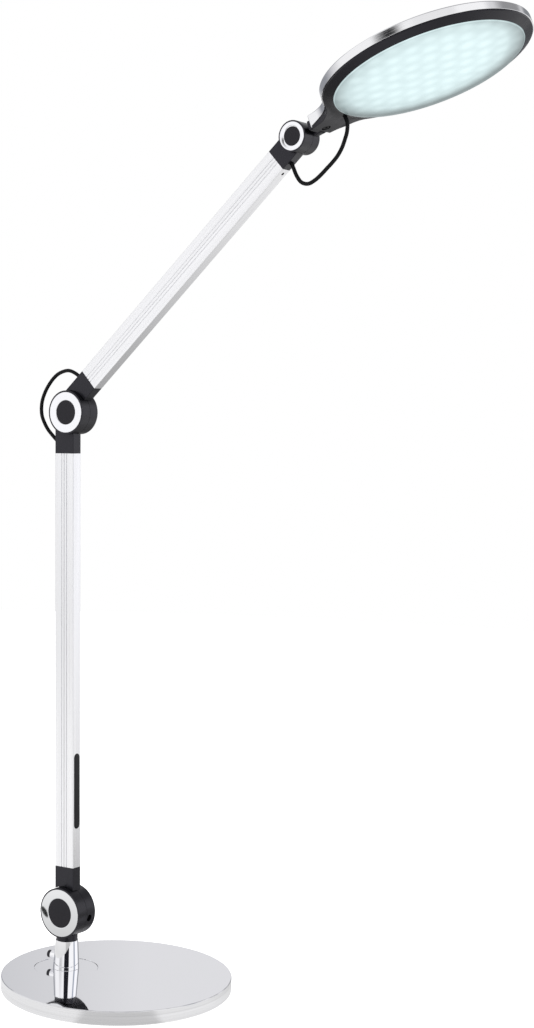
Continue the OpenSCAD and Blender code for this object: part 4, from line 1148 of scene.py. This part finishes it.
# What mirrors see of the floor, as the low, high, start and stop of a spread along a distance in metres. It
# is painted light and shade by place, with a painted dark streak for the lower ring's reflection.
NEAR_BASE_PAINTED_SHADE, OPEN_FLOOR, FAR_FLOOR = (0.9, 0.8, 0.155, 0.19), (0, 0.27, 0.2, 0.38), (0, 0.55, 1.6, 2.3)
BACK_Y, BACK_X, BACK_MOST = (0.42, 1.3, 0.3, 1.6), (0.3, 1.4, -0.3, 0.6), 0.96
BEHIND, SECTOR, SECTOR_PAINTED_SHADE = (0, 1, 0.02, 0.25), (CAMERA_WAY, 22, 2), 0.26
STREAK_AT, STREAK_SCALE, STREAK_TURN = (-0.2218, -0.211, 0), (42, 370, 1), math.radians(42)
PAINTED_DARK_STREAK = (0.03, 1, 0.8, 1.1)


def floor_white():
    material, tree, shader = finish("floor_white", (0.8, 0.8, 0.8), 0.9)
    place = mapped(tree)
    x, y = axes(tree, place)[:2]
    away, flat = distance(tree, place), vectors(tree, "NORMALIZE", place)
    # Painted shade in the mirrors: dimmer just round the base, in the camera's sector and far out.
    front = maths(tree, "ADD", spread(tree, away, *NEAR_BASE_PAINTED_SHADE), spread(tree, away, *OPEN_FLOOR))
    camera_painted_shade = maths(tree, "MULTIPLY", facing(tree, flat, *SECTOR), SECTOR_PAINTED_SHADE)
    for less in (spread(tree, away, *FAR_FLOOR), camera_painted_shade):
        front = maths(tree, "SUBTRACT", front, less)
    # Painted reflection: a dark streak that only mirrors see, which shows as a dark mark in the lower ring.
    painted_streak = distance(tree, mapped(tree, (0, 0, -STREAK_TURN), STREAK_SCALE, STREAK_AT))
    front = maths(tree, "MULTIPLY", front, spread(tree, painted_streak, *PAINTED_DARK_STREAK))
    back = maths(tree, "MULTIPLY", spread(tree, y, *BACK_Y), spread(tree, x, *BACK_X))
    back = maths(tree, "MINIMUM", back, BACK_MOST)
    strength = mixed_value(tree, spread(tree, y, *BEHIND), front, back)
    mirrored = node(tree, "ShaderNodeEmission", in_Strength=strength).outputs[0]
    rays = node(tree, "ShaderNodeLightPath").outputs
    glow = maths(tree, "MULTIPLY", rays["Is Camera Ray"], FLOOR_GLOW)
    settle(shader, in_Specular_IOR_Level=0, in_Emission_Color=(1, 1, 1), in_Emission_Strength=glow)
    pick = node(
        tree, "ShaderNodeMixShader", in_0=rays["Is Glossy Ray"], in_1=shader.outputs[0], in_2=mirrored
    )
    settle(tree.nodes["Material Output"], in_Surface=pick.outputs[0])
    return material


ground = bmesh.new()
bmesh.ops.create_circle(ground, cap_ends=True, radius=FLOOR_R, segments=96)
floor = as_object("floor", placed(ground, TO_METRES @ Matrix.Translation((0, 0, FLOOR_Z))))
floor.data.materials.append(floor_white())
print("floor radius in metres:", FLOOR_R / 1000)
